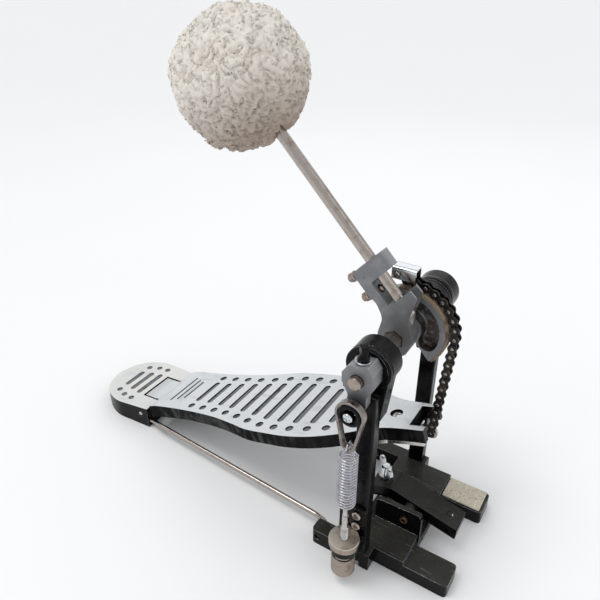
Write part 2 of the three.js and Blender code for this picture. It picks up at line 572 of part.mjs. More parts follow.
// ------------------------------------------------------------------------------------ spring side
function springHub() {
  const body = outline([
    [-5.3, 8.6], [5.9, 10.2], [9.2, 5], [9.4, -3.6], [6, -9], [6, -16], [3.5, -23], [-3.5, -23], [-6, -16],
    [-5, -11], [-9.3, -3], [-9.3, 3],
  ]);
  const boss = sideSlab(body, HUB.outerY, HUB.innerY);
  const upperHalf = block([-12, 12], [HUB.outerY - 1, HUB.sleeveY + 1], [-9, 14]);
  const sleeve = sideSlab(body, HUB.outerY, HUB.sleeveY).intersect(upperHalf);
  return cut(
    join(boss, sleeve),
    bar('y', SHAFT.radius + CLEAR, -70, -40),
    bar('z', HUB_SCREW.radius + 0.4, 2, 14, HUB_SCREW.at, 12),
    bar('y', 2, -70, -50, [0, SPRING.swivelZ], 12),
  );
}

function hubScrew() {
  const { at, radius, washerHigh } = HUB_SCREW;
  const cone = new THREE.CylinderGeometry(2.3, 3.2, 4, 12).rotateX(Math.PI / 2);
  const neck = solid(cone.translate(...at, washerHigh + 2.2));
  return join(bar('z', radius, 4.4, washerHigh + 0.8, at, 12), neck, bar('z', 2.9, 14, 19.6, at, 4));
}

function hubWasher() {
  const { at, radius, washer, washerLow, washerHigh } = HUB_SCREW;
  return cut(bar('z', washer, washerLow, washerHigh, at, 16), bar('z', radius + CLEAR, 8, 14, at, 12));
}

function swivelScrew() {
  const at = [0, SPRING.swivelZ];
  return join(bar('y', 1.7, -68.6, -54.4, at, 10), bar('y', 2.9, -70.2, -68.4, at, 12));
}

function swivelDisc() {
  return cut(bar('y', DISC.radius, DISC.near, DISC.far), bar('y', DISC.bore, -80, -50, [0, 0], 14));
}

// A tapering loop outline: a wide arc about the swivel and a narrow one about the eye below it.
function loop(upper, lower) {
  const lean = 0.35;
  const shape = new THREE.Shape();
  shape.absarc(0, 0, upper, -lean, Math.PI + lean, false);
  shape.absarc(0, -STRAP.drop, lower, Math.PI + lean, 2 * Math.PI - lean, false);
  return shape;
}

// A flat loop from the disc down to a round eye that the spring's hook hangs in.
function strap() {
  const inside = sideSlab(loop(STRAP.upperInner, STRAP.lowerInner), STRAP.near - 3, STRAP.far + 3);
  return cut(sideSlab(loop(STRAP.upper, STRAP.lower), STRAP.near, STRAP.far), inside);
}

function spring() {
  const { radius } = SPRING;
  const length = SPRING.top - SPRING.hook;
  const barrel = bar('z', radius, 4, length - 4, [0, 0], 14);
  const bore = bar('z', radius - 2 * SPRING.wire, -1, SPRING.top, [0, 0], 12);
  const hookRadius = 0.85;
  const upper = wire([
    [0, 0, length - 8], [0, -3.5, length - 2], [0, -3.5, length + 3.2], [0, 0, length + 4.4],
    [0, 3.5, length + 3.2], [0, 3.5, length],
  ], hookRadius, 6);
  const bridge = bar('x', hookRadius, 0.5 - radius, radius - 0.5, [0, length - 8], 8);
  const lower = bar('x', hookRadius, 0.5 - radius, radius - 0.5, [0, 9.4], 8);
  return join(cut(barrel, bore), upper, bridge, lower);
}

function tensionRod() {
  const shank = bar('z', TENSION.radius, TENSION.bottom, SPRING.hook - 6, [0, 0], 14);
  const path = [[0, 0, SPRING.hook - 8], [0, 0, SPRING.hook + 4.6], [1.6, 0, SPRING.hook + 6.4]];
  return join(shank, wire(path, TENSION.hookWire));
}

// A round nut or washer on the tension rod.
function rodNut(radius, from, to) {
  const bore = bar('z', TENSION.radius + CLEAR, from - 1, to + 1, [0, 0], 12);
  return cut(bar('z', radius, from, to), bore);
}

function springBracket() {
  const { rear, front, near, far, low, high } = BRACKET;
  const shelf = new THREE.Shape();
  shelf.moveTo(rear, far).lineTo(-NUT.upper, SPRING.y);
  shelf.absarc(0, SPRING.y, NUT.upper, Math.PI, 2 * Math.PI).lineTo(front, far);
  const flange = block([rear, front], [near, far], [low, high]);
  return cut(
    join(slab(shelf, TENSION.plateLow, TENSION.plateHigh), flange),
    bar('z', TENSION.radius + CLEAR, 20, 40, [0, SPRING.y], 14),
    bracketHoles(-60, -50),
  );
}

function bracketHoles(from, to) {
  return BRACKET_SCREWS.map((z) => bar('y', 1.9, from, to, [BRACKET.screwX, z], 10));
}

function bracketScrew(z) {
  const at = [BRACKET.screwX, z];
  return join(bar('y', 1.6, -56, -48, at, 10), bar('y', 3, -57.4, -55.6, at, 12));
}

// --------------------------------------------------------------------------------------- assembly
piece(pedal, 'base_casting', baseCasting(), PAINT.black);
piece(pedal, 'near_upright', upright(-1), PAINT.black);
piece(pedal, 'far_upright', upright(1), PAINT.black);
piece(pedal, 'near_upright_screw', uprightScrew(-1), PAINT.steel);
piece(pedal, 'far_upright_screw', uprightScrew(1), PAINT.steel);
piece(pedal, 'far_leg_pad', block([33, 60], [24.6, 43.9], [BASE.leg + CLEAR, 12.1]), PAINT.pad);
piece(pedal, 'heel_plate', heelPlate(), PAINT.aluminium);
piece(pedal, 'near_radius_rod', radiusRod(-1), PAINT.steel);
piece(pedal, 'far_radius_rod', radiusRod(1), PAINT.steel);
const hingePin = bar('y', HINGE.pinRadius, -HINGE.halfLength, HINGE.halfLength, [HINGE.x, HINGE.z]);
piece(pedal, 'hinge_pin', hingePin, PAINT.steel);
piece(pedal, 'lever_pin', leverPin(), PAINT.nickel);
piece(pedal, 'clamp_lever', lever(), PAINT.black);
piece(pedal, 'wing_screw', wingScrew(), PAINT.chrome);
piece(pedal, 'spring_bracket', springBracket(), PAINT.black);
piece(pedal, 'lower_bracket_screw', bracketScrew(BRACKET_SCREWS[0]), PAINT.steel);
piece(pedal, 'upper_bracket_screw', bracketScrew(BRACKET_SCREWS[1]), PAINT.steel);

const board = group(pedal, HINGE.x, 0, HINGE.z);
board.rotation.y = -SLOPE;
piece(board, 'footboard', footboard(), PAINT.aluminium);
piece(board, 'toe_bracket', toeBracket(), PAINT.steel);
piece(board, 'toe_screw', toeScrew(), PAINT.steel);
piece(board, 'toe_nut', toeNut(), PAINT.steel);

const rotor = group(pedal, 0, 0, SHAFT.height);
piece(rotor, 'shaft', shaft(), PAINT.steel);
for (const [side, word] of [[-1, 'near'], [1, 'far']]) {
  const { outer, inner, ring, width } = BEARING;
  const [seat, race] = [outer - ring, inner + ring];
  piece(rotor, `${word}_bearing_outer_ring`, bearingRing(side, outer, seat, width), PAINT.steel);
  const cage = bearingRing(side, seat - CLEAR, race + CLEAR, width - 2);
  piece(rotor, `${word}_bearing_cage`, cage, PAINT.nickel);
  piece(rotor, `${word}_bearing_inner_ring`, bearingRing(side, race, inner, width), PAINT.steel);
}
piece(rotor, 'far_end_collar', cut(
  bar('y', HOUSING.radius, HOUSING.outer + CLEAR, 62, [0, 0], 24),
  bar('y', SHAFT.radius + CLEAR, 40, 60.5, [0, 0], 16)), PAINT.black);
piece(rotor, 'beater_holder', beaterHolder(), PAINT.castGrey);
for (const screw of HOLDER_SCREWS) {
  piece(rotor, `${screw.word}_holder_screw`, keyScrew(screw), PAINT.steel);
}
const beaterRod = rodBetween(onRod(BEATER.top), onRod(BEATER.foot), BEATER.rodRadius, 16);
piece(rotor, 'beater_rod', beaterRod, PAINT.steel);
piece(rotor, 'beater_core', ballCore(), PAINT.core);
piece(rotor, 'beater_fleece', fleeceBall(), PAINT.fleece);
piece(rotor, 'chain_wheel', chainWheel(), PAINT.castGrey);
piece(rotor, 'wheel_felt', feltStrip(), PAINT.felt);
piece(rotor, 'chain_clip', chainClip(), PAINT.chrome);
piece(rotor, 'clip_rivet', clipRivet(), PAINT.steel);
piece(rotor, 'chain_on_wheel', chainRun(LINKS.first, 3), PAINT.chain);
for (let k = 4; k < LINKS.lastOnWheel; k++) {
  piece(rotor, `chain_link_${k}`, link(k), PAINT.chain);
}
piece(rotor, 'chain_hanging', chainRun(LINKS.lastOnWheel, LINKS.last), PAINT.chain);
piece(rotor, 'spring_hub', springHub(), PAINT.castGrey);
piece(rotor, 'hub_key_screw', hubScrew(), PAINT.black);
piece(rotor, 'hub_washer', hubWasher(), PAINT.chrome);
piece(rotor, 'swivel_screw', swivelScrew(), PAINT.steel);

const swivel = group(rotor, 0, 0, SPRING.swivelZ);
piece(swivel, 'swivel_disc', swivelDisc(), PAINT.black);
piece(swivel, 'strap', strap(), PAINT.nickel);

const springLine = group(pedal, 0, SPRING.y, 0);
piece(springLine, 'tension_rod', tensionRod(), PAINT.steel);
const upperNut = rodNut(NUT.upper, TENSION.plateHigh + CLEAR, NUT.upperTop);
piece(springLine, 'upper_knurled_nut', upperNut, PAINT.nickel);
piece(springLine, 'lower_knurled_nut', rodNut(NUT.lower, NUT.lowerFoot, NUT.lowerTop), PAINT.nickel);
const nutWasher = rodNut(NUT_WASHER.radius, NUT_WASHER.low, NUT_WASHER.high);
piece(springLine, 'nut_washer', nutWasher, PAINT.steel);
piece(group(springLine, 0, 0, SPRING.hook), 'spring', spring(), PAINT.chrome);

export default pedal;
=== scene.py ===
"""The looks of a bass drum pedal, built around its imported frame. Shapes are made in millimetres and placed
in metres. +X points at the drum, +Y is the drummer's left, +Z is up."""

import math
import random

import bmesh
import bpy
import numpy as np
from mathutils import Matrix, Vector, noise


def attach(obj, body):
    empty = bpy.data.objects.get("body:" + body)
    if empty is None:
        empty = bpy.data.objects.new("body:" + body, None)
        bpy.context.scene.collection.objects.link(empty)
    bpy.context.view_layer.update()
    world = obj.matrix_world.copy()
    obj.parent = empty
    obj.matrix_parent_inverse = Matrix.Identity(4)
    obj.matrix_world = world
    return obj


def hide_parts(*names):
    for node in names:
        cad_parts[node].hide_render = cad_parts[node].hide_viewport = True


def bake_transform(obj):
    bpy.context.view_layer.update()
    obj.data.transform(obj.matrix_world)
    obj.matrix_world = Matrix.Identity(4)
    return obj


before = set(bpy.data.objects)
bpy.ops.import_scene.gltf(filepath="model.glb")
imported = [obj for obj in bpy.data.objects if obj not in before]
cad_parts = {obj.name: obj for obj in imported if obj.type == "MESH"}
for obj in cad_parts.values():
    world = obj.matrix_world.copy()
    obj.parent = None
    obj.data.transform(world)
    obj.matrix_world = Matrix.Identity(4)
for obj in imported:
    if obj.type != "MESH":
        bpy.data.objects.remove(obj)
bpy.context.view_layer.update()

MM = 0.001
SHAFT_Z = 156.6
HINGE_X, HINGE_Z = -218, 11.5
SLOPE = math.atan(0.3214)
SPRING_Y = -65.5
SWIVEL_Z = SHAFT_Z - 19

LEVEL = Matrix.Identity(4)
ROTOR = Matrix.Translation((0, 0, SHAFT_Z))
SWIVEL = Matrix.Translation((0, 0, SWIVEL_Z))
SPRING_LINE = Matrix.Translation((0, SPRING_Y, 0))
BOARD = Matrix.Translation((HINGE_X, 0, HINGE_Z)) @ Matrix.Rotation(-SLOPE, 4, "Y")


# ------------------------------------------------------------------------------ camera, floor and lights
def camera():
    data = bpy.data.cameras.new("camera")
    data.sensor_width, data.lens = 36, 36.073
    data.shift_x, data.shift_y = 0.03888, -0.0122
    data.clip_start, data.clip_end = 0.01, 60
    made = bpy.data.objects.new("camera", data)
    right = Vector((0.829832, 0.557673, -0.019499))
    down = Vector((0.259822, -0.417075, -0.870942))
    ahead = Vector((-0.493834, 0.717669, -0.490998))
    turned = Matrix((right, -down, -ahead)).transposed().to_4x4()
    made.matrix_world = Matrix.Translation((0.111233, -0.295685, 0.357412)) @ turned
    bpy.context.scene.collection.objects.link(made)
    bpy.context.scene.camera = made


def area_light(name, at, aim, size, power, tint=(1, 1, 1)):
    data = bpy.data.lights.new(name, "AREA")
    data.shape, data.size, data.size_y = "RECTANGLE", *size
    data.energy, data.color = power, tint
    made = bpy.data.objects.new(name, data)
    made.location = at
    made.rotation_euler = (Vector(aim) - Vector(at)).to_track_quat("-Z", "Y").to_euler()
    bpy.context.scene.collection.objects.link(made)


def studio():
    scene = bpy.context.scene
    scene.view_settings.view_transform = "Standard"
    world = bpy.data.worlds.new("studio")
    world.use_nodes = True
    sky = world.node_tree.nodes["Background"]
    sky.inputs["Color"].default_value = (0.97, 0.985, 1, 1)
    sky.inputs["Strength"].default_value = 0.74
    scene.world = world
    sun = bpy.data.lights.new("sun", "SUN")
    sun.energy, sun.angle = 0.8, math.radians(25)
    lamp = bpy.data.objects.new("sun", sun)
    lamp.rotation_euler = (Vector((0.35, 0.2, -0.9))).to_track_quat("-Z", "Y").to_euler()
    scene.collection.objects.link(lamp)
    area_light("key", (-0.55, -0.75, 0.95), (-0.03, 0, 0.18), (0.5, 0.5), 0.9)
    area_light("side", (0.75, 0.1, 0.55), (0, 0, 0.12), (0.25, 0.9), 0.5, (1, 0.96, 0.9))
    area_light("back", (-0.3, 0.9, 0.7), (0, 0, 0.15), (1.0, 0.35), 0.7)


def floor():
    half = 25
    corners = [(-half, -half, 0), (half, -half, 0), (half, half, 0), (-half, half, 0)]
    mesh = bpy.data.meshes.new("floor")
    mesh.from_pydata(corners, [], [(0, 1, 2, 3)])
    made = bpy.data.objects.new("floor", mesh)
    bpy.context.scene.collection.objects.link(made)
    look = Look("floor", (0.94, 0.94, 0.945), 0, 0.6)
    look.roughness_from(look.noise(6, 2), 0.55, 0.7)
    mesh.materials.append(look.material)


# ----------------------------------------------------------------------------------------- materials
class Look:
    """A principled material whose patterns are laid in the part's own frame, in metres."""

    def __init__(self, name, color, metallic, roughness, **sockets):
        self.material = bpy.data.materials.new(name)
        self.material.use_nodes = True
        self.tree = self.material.node_tree
        self.shader = self.tree.nodes["Principled BSDF"]
        self.set("Base Color", (*color, 1))
        self.set("Metallic", metallic)
        self.set("Roughness", roughness)
        for socket, value in sockets.items():
            self.set(socket.replace("_", " "), value)
        self.place = self.node("ShaderNodeTexCoord").outputs["Object"]

    def set(self, socket, value):
        self.shader.inputs[socket].default_value = value

    def node(self, kind, **values):
        made = self.tree.nodes.new(kind)
        for key, value in values.items():
            setattr(made, key, value)
        return made

    def link(self, a, b):
        self.tree.links.new(a, b)

    def stretched(self, stretch):
        """The part's own coordinates, scaled along each axis."""
        mapping = self.node("ShaderNodeMapping")
        mapping.inputs["Scale"].default_value = stretch
        self.link(self.place, mapping.inputs["Vector"])
        return mapping.outputs["Vector"]

    def noise(self, scale, detail=4, stretch=(1, 1, 1), distortion=0.0):
        made = self.node("ShaderNodeTexNoise")
        made.inputs["Scale"].default_value = scale
        made.inputs["Detail"].default_value = detail
        made.inputs["Distortion"].default_value = distortion
        self.link(self.stretched(stretch), made.inputs["Vector"])
        return made.outputs["Fac"]

    def cells(self, scale, stretch=(1, 1, 1)):
        made = self.node("ShaderNodeTexVoronoi")
        made.inputs["Scale"].default_value = scale
        self.link(self.stretched(stretch), made.inputs["Vector"])
        return made.outputs["Distance"]

    def between(self, value, low, high, to=(0, 1)):
        """value mapped from low..high to to, and clamped."""
        made = self.node("ShaderNodeMapRange", clamp=True)
        made.inputs["From Min"].default_value = low
        made.inputs["From Max"].default_value = high
        made.inputs["To Min"].default_value = to[0]
        made.inputs["To Max"].default_value = to[1]
        self.link(value, made.inputs["Value"])
        return made.outputs["Result"]

    def times(self, a, b):
        made = self.node("ShaderNodeMath", operation="MULTIPLY")
        self.link(a, made.inputs[0])
        self.link(b, made.inputs[1])
        return made.outputs[0]

    def facing_up(self, low=0.75, high=0.95):
        """1 where the surface looks up, 0 where it doesn't."""
        split = self.node("ShaderNodeSeparateXYZ")
        self.link(self.node("ShaderNodeNewGeometry").outputs["Normal"], split.inputs[0])
        return self.between(split.outputs["Z"], low, high)

    def tint(self, share, color):
        """Lays color over what the base colour is so far."""
        socket = self.shader.inputs["Base Color"]
        made = self.node("ShaderNodeMix", data_type="RGBA")
        self.link(share, made.inputs["Factor"])
        if socket.is_linked:
            self.link(socket.links[0].from_socket, made.inputs["A"])
        else:
            made.inputs["A"].default_value = socket.default_value
        made.inputs["B"].default_value = (*color, 1)
        self.link(made.outputs["Result"], socket)
        return self

    def roughness_from(self, value, low, high, at=(0.3, 0.7)):
        self.link(self.between(value, *at, to=(low, high)), self.shader.inputs["Roughness"])
        return self

    def bump(self, height, distance, strength=1.0):
        """Adds relief of that height in metres to what there is."""
        made = self.node("ShaderNodeBump")
        made.inputs["Distance"].default_value = distance
        made.inputs["Strength"].default_value = strength
        self.link(height, made.inputs["Height"])
        socket = self.shader.inputs["Normal"]
        if socket.is_linked:
            self.link(socket.links[0].from_socket, made.inputs["Normal"])
        self.link(made.outputs["Normal"], socket)
        return self


def black_paint(name="black_paint", dust=0.12):
    """Gloss black coating with some dust on what faces up, light specks and hairline scratches."""
    look = Look(name, (0.0025, 0.0025, 0.003), 0, 0.3, Specular_IOR_Level=0.14)
    film = look.between(look.noise(70, 8), 0.3, 0.75, to=(dust * 0.55, dust))
    look.tint(look.times(look.facing_up(), film), (0.075, 0.073, 0.063))
    specks = look.times(look.facing_up(0.2, 0.8), look.between(look.noise(2600, 2), 0.68, 0.74))
    look.tint(specks, (0.16, 0.15, 0.12))
    scratch = look.between(look.noise(60, 3, (1, 14, 1), 0.4), 0.665, 0.672)
    look.tint(look.times(scratch, look.facing_up(0.985, 0.995)), (0.13, 0.125, 0.115))
    look.roughness_from(look.noise(180, 6), 0.14, 0.36)
    return look.bump(look.noise(1500, 3), 0.00004).material


def worn_highlit_edge():
    """An edge of the black coating, rubbed to bare metal and given a painted highlight where it faces up, and chipped
    elsewhere.
    """
    look = Look("black_edge", (0.006, 0.006, 0.006), 0, 0.3, Specular_IOR_Level=0.3)
    # real worn-through metal on up-facing edges, lightened blue-white as a painted highlight
    rubbed_highlight = look.times(look.facing_up(0.2, 0.5), look.between(look.noise(160, 6), 0.3, 0.5))
    chipped = look.between(look.noise(420, 5), 0.63, 0.66)
    look.tint(rubbed_highlight, (0.55, 0.57, 0.6))
    look.tint(chipped, (0.3, 0.29, 0.27))
    look.link(look.times(rubbed_highlight, look.between(look.noise(900, 3), 0.2, 0.5)), look.shader.inputs["Metallic"])
    return look.material


def cast_grey():
    look = Look("cast_grey", (0.2, 0.205, 0.213), 0.7, 0.42)
    look.tint(look.between(look.noise(140, 6), 0.45, 0.75), (0.27, 0.272, 0.275))
    # faces that look up are painted lighter grey: painted light from above
    look.tint(look.facing_up(0.35, 0.8), (0.36, 0.37, 0.375))
    look.tint(look.between(look.noise(500, 5, (1, 1, 0.3)), 0.66, 0.7), (0.14, 0.135, 0.13))
    look.roughness_from(look.noise(900, 4), 0.38, 0.55)
    return look.bump(look.noise(4200, 2), 0.00005).material


def pocket_rust_and_shade():
    """The wheel's pocket: the same casting, oily and rust-tinged, and darkened all over as painted shade in the deep
    recess.
    """
    look = Look("pocket", (0.075, 0.06, 0.055), 0.7, 0.38)
    look.tint(look.between(look.noise(420, 8), 0.52, 0.66), (0.24, 0.2, 0.18))
    look.tint(look.between(look.noise(90, 3), 0.55, 0.7), (0.2, 0.21, 0.225))
    return look.bump(look.noise(1800, 4), 0.00012).material


def board_top(name, color):
    """Pale satin aluminium, machined flat, with faint cross grain and handling marks."""
    look = Look(name, color, 0.3, 0.42)
    look.tint(look.between(look.noise(28, 5), 0.48, 0.75, to=(0, 0.6)), (0.56, 0.6, 0.64))
    look.tint(look.between(look.noise(160, 5, (0.15, 1, 1)), 0.6, 0.7, to=(0, 0.7)), (0.56, 0.57, 0.57))
    look.tint(look.between(look.noise(1900, 2), 0.66, 0.7, to=(0, 0.6)), (0.4, 0.4, 0.39))
    look.roughness_from(look.noise(260, 5, (0.2, 3, 1)), 0.36, 0.5)
    return look.bump(look.noise(1400, 2, (0.08, 1.5, 1)), 0.00003).material


def recess_floor():
    look = Look("recess_floor", (0.13, 0.135, 0.14), 0.2, 0.6)
    look.tint(look.between(look.noise(2200, 3), 0.45, 0.6), (0.27, 0.275, 0.28))
    look.tint(look.between(look.noise(190, 5), 0.58, 0.68), (0.06, 0.06, 0.06))
    return look.bump(look.noise(2500, 3), 0.0002).material


def metal(name, color, rough, stain=None, drawn=(1, 1, 1), **sockets):
    """A plated or polished metal with drawn grain, and a stain laid over it in patches."""
    look = Look(name, color, 1, rough, **sockets)
    if stain:
        look.tint(look.between(look.noise(240, 6), 0.52, 0.72), stain)
    look.roughness_from(look.noise(1200, 4, drawn), rough * 0.75, rough * 1.35)
    return look.bump(look.noise(2400, 2, drawn), 0.00002).material


def felt_tan():
    look = Look("felt", (0.22, 0.145, 0.08), 0, 0.95, Sheen_Weight=0.15)
    look.tint(look.between(look.noise(1900, 5), 0.45, 0.62), (0.36, 0.28, 0.18))
    look.tint(look.between(look.noise(160, 4), 0.5, 0.7), (0.1, 0.06, 0.03))
    return look.bump(look.noise(3200, 4), 0.0003).material


def speckled_pad():
    look = Look("hoop_pad", (0.63, 0.58, 0.46), 0, 0.85)
    look.tint(look.between(look.noise(420, 5), 0.5, 0.7), (0.74, 0.7, 0.6))
    look.tint(look.between(look.noise(1300, 3), 0.61, 0.65), (0.12, 0.1, 0.07))
    look.tint(look.between(look.noise(700, 6, distortion=1.2), 0.63, 0.66), (0.2, 0.16, 0.1))
    return look.bump(look.noise(1500, 4), 0.0003).material


def wool():
    """Cream fleece, near white on the tips of the curls, with painted shade: warm beige down in the gaps between
    curls, brown on the underside.
    """
    look = Look(
        "fleece", (0.86, 0.81, 0.735), 0, 0.95, Sheen_Weight=0.15, Sheen_Roughness=0.5,
    )
    depth = look.node("ShaderNodeAttribute", attribute_name="curl").outputs["Fac"]
    # painted shade: the creases between curls and the roots of the locks darkened to warm beige
    look.tint(look.between(depth, 0.42, 0.08, to=(0, 0.7)), (0.5, 0.39, 0.3))
    look.tint(look.between(look.noise(45, 3), 0.5, 0.75, to=(0, 0.4)), (0.7, 0.63, 0.54))
    # painted shade on the ball's underside, partly brown dirt: darker and browner towards the lower side
    under = look.node("ShaderNodeAttribute", attribute_name="under").outputs["Fac"]
    look.tint(look.between(under, 0.5, 0.93, to=(0, 0.8)), (0.3, 0.215, 0.16))
    return look.bump(look.noise(2600, 4), 0.0004, 0.7).material


def core():
    look = Look("core_wood", (0.5, 0.36, 0.2), 0, 0.6)
    look.tint(look.noise(60, 4, (1, 1, 8)), (0.36, 0.23, 0.12))
    return look.material


floor()
camera()
studio()
BLACK = black_paint()
# edge material: worn bare metal, with a painted highlight on edges that face up
WORN_HIGHLIT = worn_highlit_edge()
DUSTY = black_paint("dusty_black", 0.62)
SATIN = black_paint("satin_black", 0.42)
GREY = cast_grey()
POCKET_RUST_AND_SHADE = pocket_rust_and_shade()
BOARD_TOP = board_top("board_top", (0.7, 0.725, 0.74))
HEEL_TOP = board_top("heel_top", (0.77, 0.765, 0.735))
RECESS = recess_floor()
STEEL = metal("steel", (0.42, 0.375, 0.345), 0.22, (0.3, 0.25, 0.225))
BRIGHT = metal("bright_steel", (0.55, 0.53, 0.51), 0.2, (0.38, 0.34, 0.3))
CHROME = metal("chrome", (0.62, 0.65, 0.67), 0.12)
NICKEL = metal("nickel", (0.36, 0.3, 0.26), 0.26, (0.22, 0.165, 0.13))
PALE_NICKEL = metal("pale_nickel", (0.6, 0.54, 0.46), 0.34, (0.42, 0.36, 0.29))
BRASS = metal("brass", (0.62, 0.47, 0.3), 0.3, (0.4, 0.28, 0.18))
GUNMETAL = metal("gunmetal", (0.27, 0.24, 0.225), 0.24, (0.15, 0.12, 0.11))
SPRING_ZINC = metal("spring_zinc", (0.5, 0.5, 0.54), 0.2, (0.34, 0.29, 0.32))
CHAIN_BLACK = metal("chain_black", (0.035, 0.032, 0.03), 0.32, (0.09, 0.075, 0.06))
CHAIN_PIN = metal("chain_pin", (0.3, 0.27, 0.24), 0.22, (0.08, 0.07, 0.06))
FELT = felt_tan()
PAD = speckled_pad()
WOOL = wool()
CORE = core()


# ------------------------------------------------------------------------------------ shapes, in mm
def from_mesh(points, faces):
    mesh = bpy.data.meshes.new("shape")
    mesh.from_pydata([tuple(p) for p in points], [], faces)
    made = bpy.data.objects.new("shape", mesh)
    bpy.context.scene.collection.objects.link(made)
    tidy = bmesh.new()
    tidy.from_mesh(mesh)
    bmesh.ops.recalc_face_normals(tidy, faces=tidy.faces)
    tidy.to_mesh(mesh)
    tidy.free()
    return made


def rounded(points, radius, steps=5):
    """An outline with its corners rounded, as far as its sides allow. A radius may be given for each."""
    made = []
    radii = radius if isinstance(radius, (list, tuple)) else [radius] * len(points)
    corners = [Vector(p) for p in points]
    for i, (corner, r) in enumerate(zip(corners, radii)):
        before, after = corners[i - 1], corners[(i + 1) % len(corners)]
        a, b = (before - corner), (after - corner)
        angle = a.angle(b)
        reach = min(r / max(math.tan(angle / 2), 1e-6), 0.46 * a.length, 0.46 * b.length)
        if r <= 0 or angle > math.radians(176):
            made.append(tuple(corner))
            continue
        start, end = corner + a.normalized() * reach, corner + b.normalized() * reach
        for k in range(steps + 1):
            t = k / steps
            point = start * (1 - t) ** 2 + corner * 2 * t * (1 - t) + end * t**2
            made.append(tuple(point))
    return made


def arc(x, y, radius, start, end, steps=24):
    angles = [math.radians(start + (end - start) * k / steps) for k in range(steps + 1)]
    return [(x + radius * math.cos(a), y + radius * math.sin(a)) for a in angles]


def prism(points, low, high, axis="z"):
    """An outline in the two other axes, in their own order, extruded along an axis."""
    n = len(points)
    place_at = {"x": lambda a, b, h: (h, a, b), "y": lambda a, b, h: (a, h, b), "z": lambda a, b, h: (a, b, h)}[axis]
    ends = [[place_at(a, b, h) for a, b in points] for h in (low, high)]
    sides = [(i, (i + 1) % n, n + (i + 1) % n, n + i) for i in range(n)]
    return from_mesh(ends[0] + ends[1], [tuple(range(n))[::-1], tuple(range(n, 2 * n)), *sides])


def block(xs, ys, zs):
    return prism([(xs[0], ys[0]), (xs[1], ys[0]), (xs[1], ys[1]), (xs[0], ys[1])], *zs)


def basis(a, b):
    """Two unit vectors across the line from a to b."""
    along = (Vector(b) - Vector(a)).normalized()
    side = along.orthogonal().normalized()
    return side, along.cross(side)


def turned(a, b, profile, sides=64, turn=0.0):
    """A profile of (distance from a, radius) turned about the line from a to b, closed by its end faces."""
    a, b = Vector(a), Vector(b)
    along = (b - a).normalized()
    side, other = basis(a, b)
    points, faces = [], []
    for distance, radius in profile:
        for k in range(sides):
            angle = 2 * math.pi * k / sides + turn
            around = side * math.cos(angle) + other * math.sin(angle)
            points.append(a + along * distance + around * radius)
    for ring in range(len(profile) - 1):
        for k in range(sides):
            low, high = ring * sides, (ring + 1) * sides
            faces.append((low + k, low + (k + 1) % sides, high + (k + 1) % sides, high + k))
    last = (len(profile) - 1) * sides
    faces += [tuple(range(sides)), tuple(range(last, last + sides))]
    return from_mesh(points, faces)


def rod(a, b, radius, sides=48, chamfer=0.0, turn=0.0):
    length = (Vector(b) - Vector(a)).length
    ends = [(0, radius), (length, radius)]
    if chamfer:
        ends = [(0, radius - chamfer), (chamfer, radius), (length - chamfer, radius), (length, radius - chamfer)]
    return turned(a, b, ends, sides, turn)


def bar(axis, radius, low, high, at=(0, 0), sides=48, chamfer=0.0, turn=0.0):
    """A round bar along an axis, or with few sides a prism; at is its centre on the other two axes."""
    place = {"x": lambda d: (d, *at), "y": lambda d: (at[0], d, at[1]), "z": lambda d: (*at, d)}[axis]
    return rod(place(low), place(high), radius, sides, chamfer, turn)


def ring(axis, outer, inner, low, high, at=(0, 0), sides=64):
    return cut(bar(axis, outer, low, high, at, sides), bar(axis, inner, low - 1, high + 1, at, sides))


def tube(points, radius, sides=16, bend=4.0, steps=7):
    """A round wire through the points, with its corners bent on a curve."""
    places = [Vector(p) for p in points]
    path = [places[0]]
    for before, corner, after in zip(places, places[1:], places[2:]):
        a, b = before - corner, after - corner
        reach = min(bend, 0.45 * a.length, 0.45 * b.length)
        start, end = corner + a.normalized() * reach, corner + b.normalized() * reach
        for k in range(steps + 1):
            t = k / steps
            path.append(start * (1 - t) ** 2 + corner * 2 * t * (1 - t) + end * t**2)
    return sweep([*path, places[-1]], radius, sides)


def sweep(path, radius, sides=12):
    """A round section carried along a path without twisting; radius may be a list, one for each point."""
    radii = radius if isinstance(radius, (list, tuple)) else [radius] * len(path)
    side = basis(path[0], path[1])[0]
    points, faces = [], []
    for i, (at, r) in enumerate(zip(path, radii)):
        along = (path[min(i + 1, len(path) - 1)] - path[max(i - 1, 0)]).normalized()
        side = (side - along * side.dot(along)).normalized()
        other = along.cross(side)
        for k in range(sides):
            angle = 2 * math.pi * k / sides
            points.append(at + (side * math.cos(angle) + other * math.sin(angle)) * r)
    for i in range(len(path) - 1):
        for k in range(sides):
            low, high = i * sides, (i + 1) * sides
            faces.append((low + k, low + (k + 1) % sides, high + (k + 1) % sides, high + k))
    last = (len(path) - 1) * sides
    return from_mesh(points, [*faces, tuple(range(sides)), tuple(range(last, last + sides))])


def sector(profile, start, end, steps=72):
    """A closed profile of (radius, y) turned about the shaft from one angle to another."""
    n = len(profile)
    points, faces = [], []
    for k in range(steps + 1):
        angle = math.radians(start + (end - start) * k / steps)
        points += [(r * math.cos(angle), y, r * math.sin(angle)) for r, y in profile]
    for k in range(steps):
        for i in range(n):
            low, high = k * n, (k + 1) * n
            faces.append((low + i, low + (i + 1) % n, high + (i + 1) % n, high + i))
    return from_mesh(points, [*faces, tuple(range(n)), tuple(range(steps * n, steps * n + n))])


def baked(obj):
    graph = bpy.context.evaluated_depsgraph_get()
    mesh = bpy.data.meshes.new_from_object(obj.evaluated_get(graph))
    obj.modifiers.clear()
    obj.data = mesh
    return obj


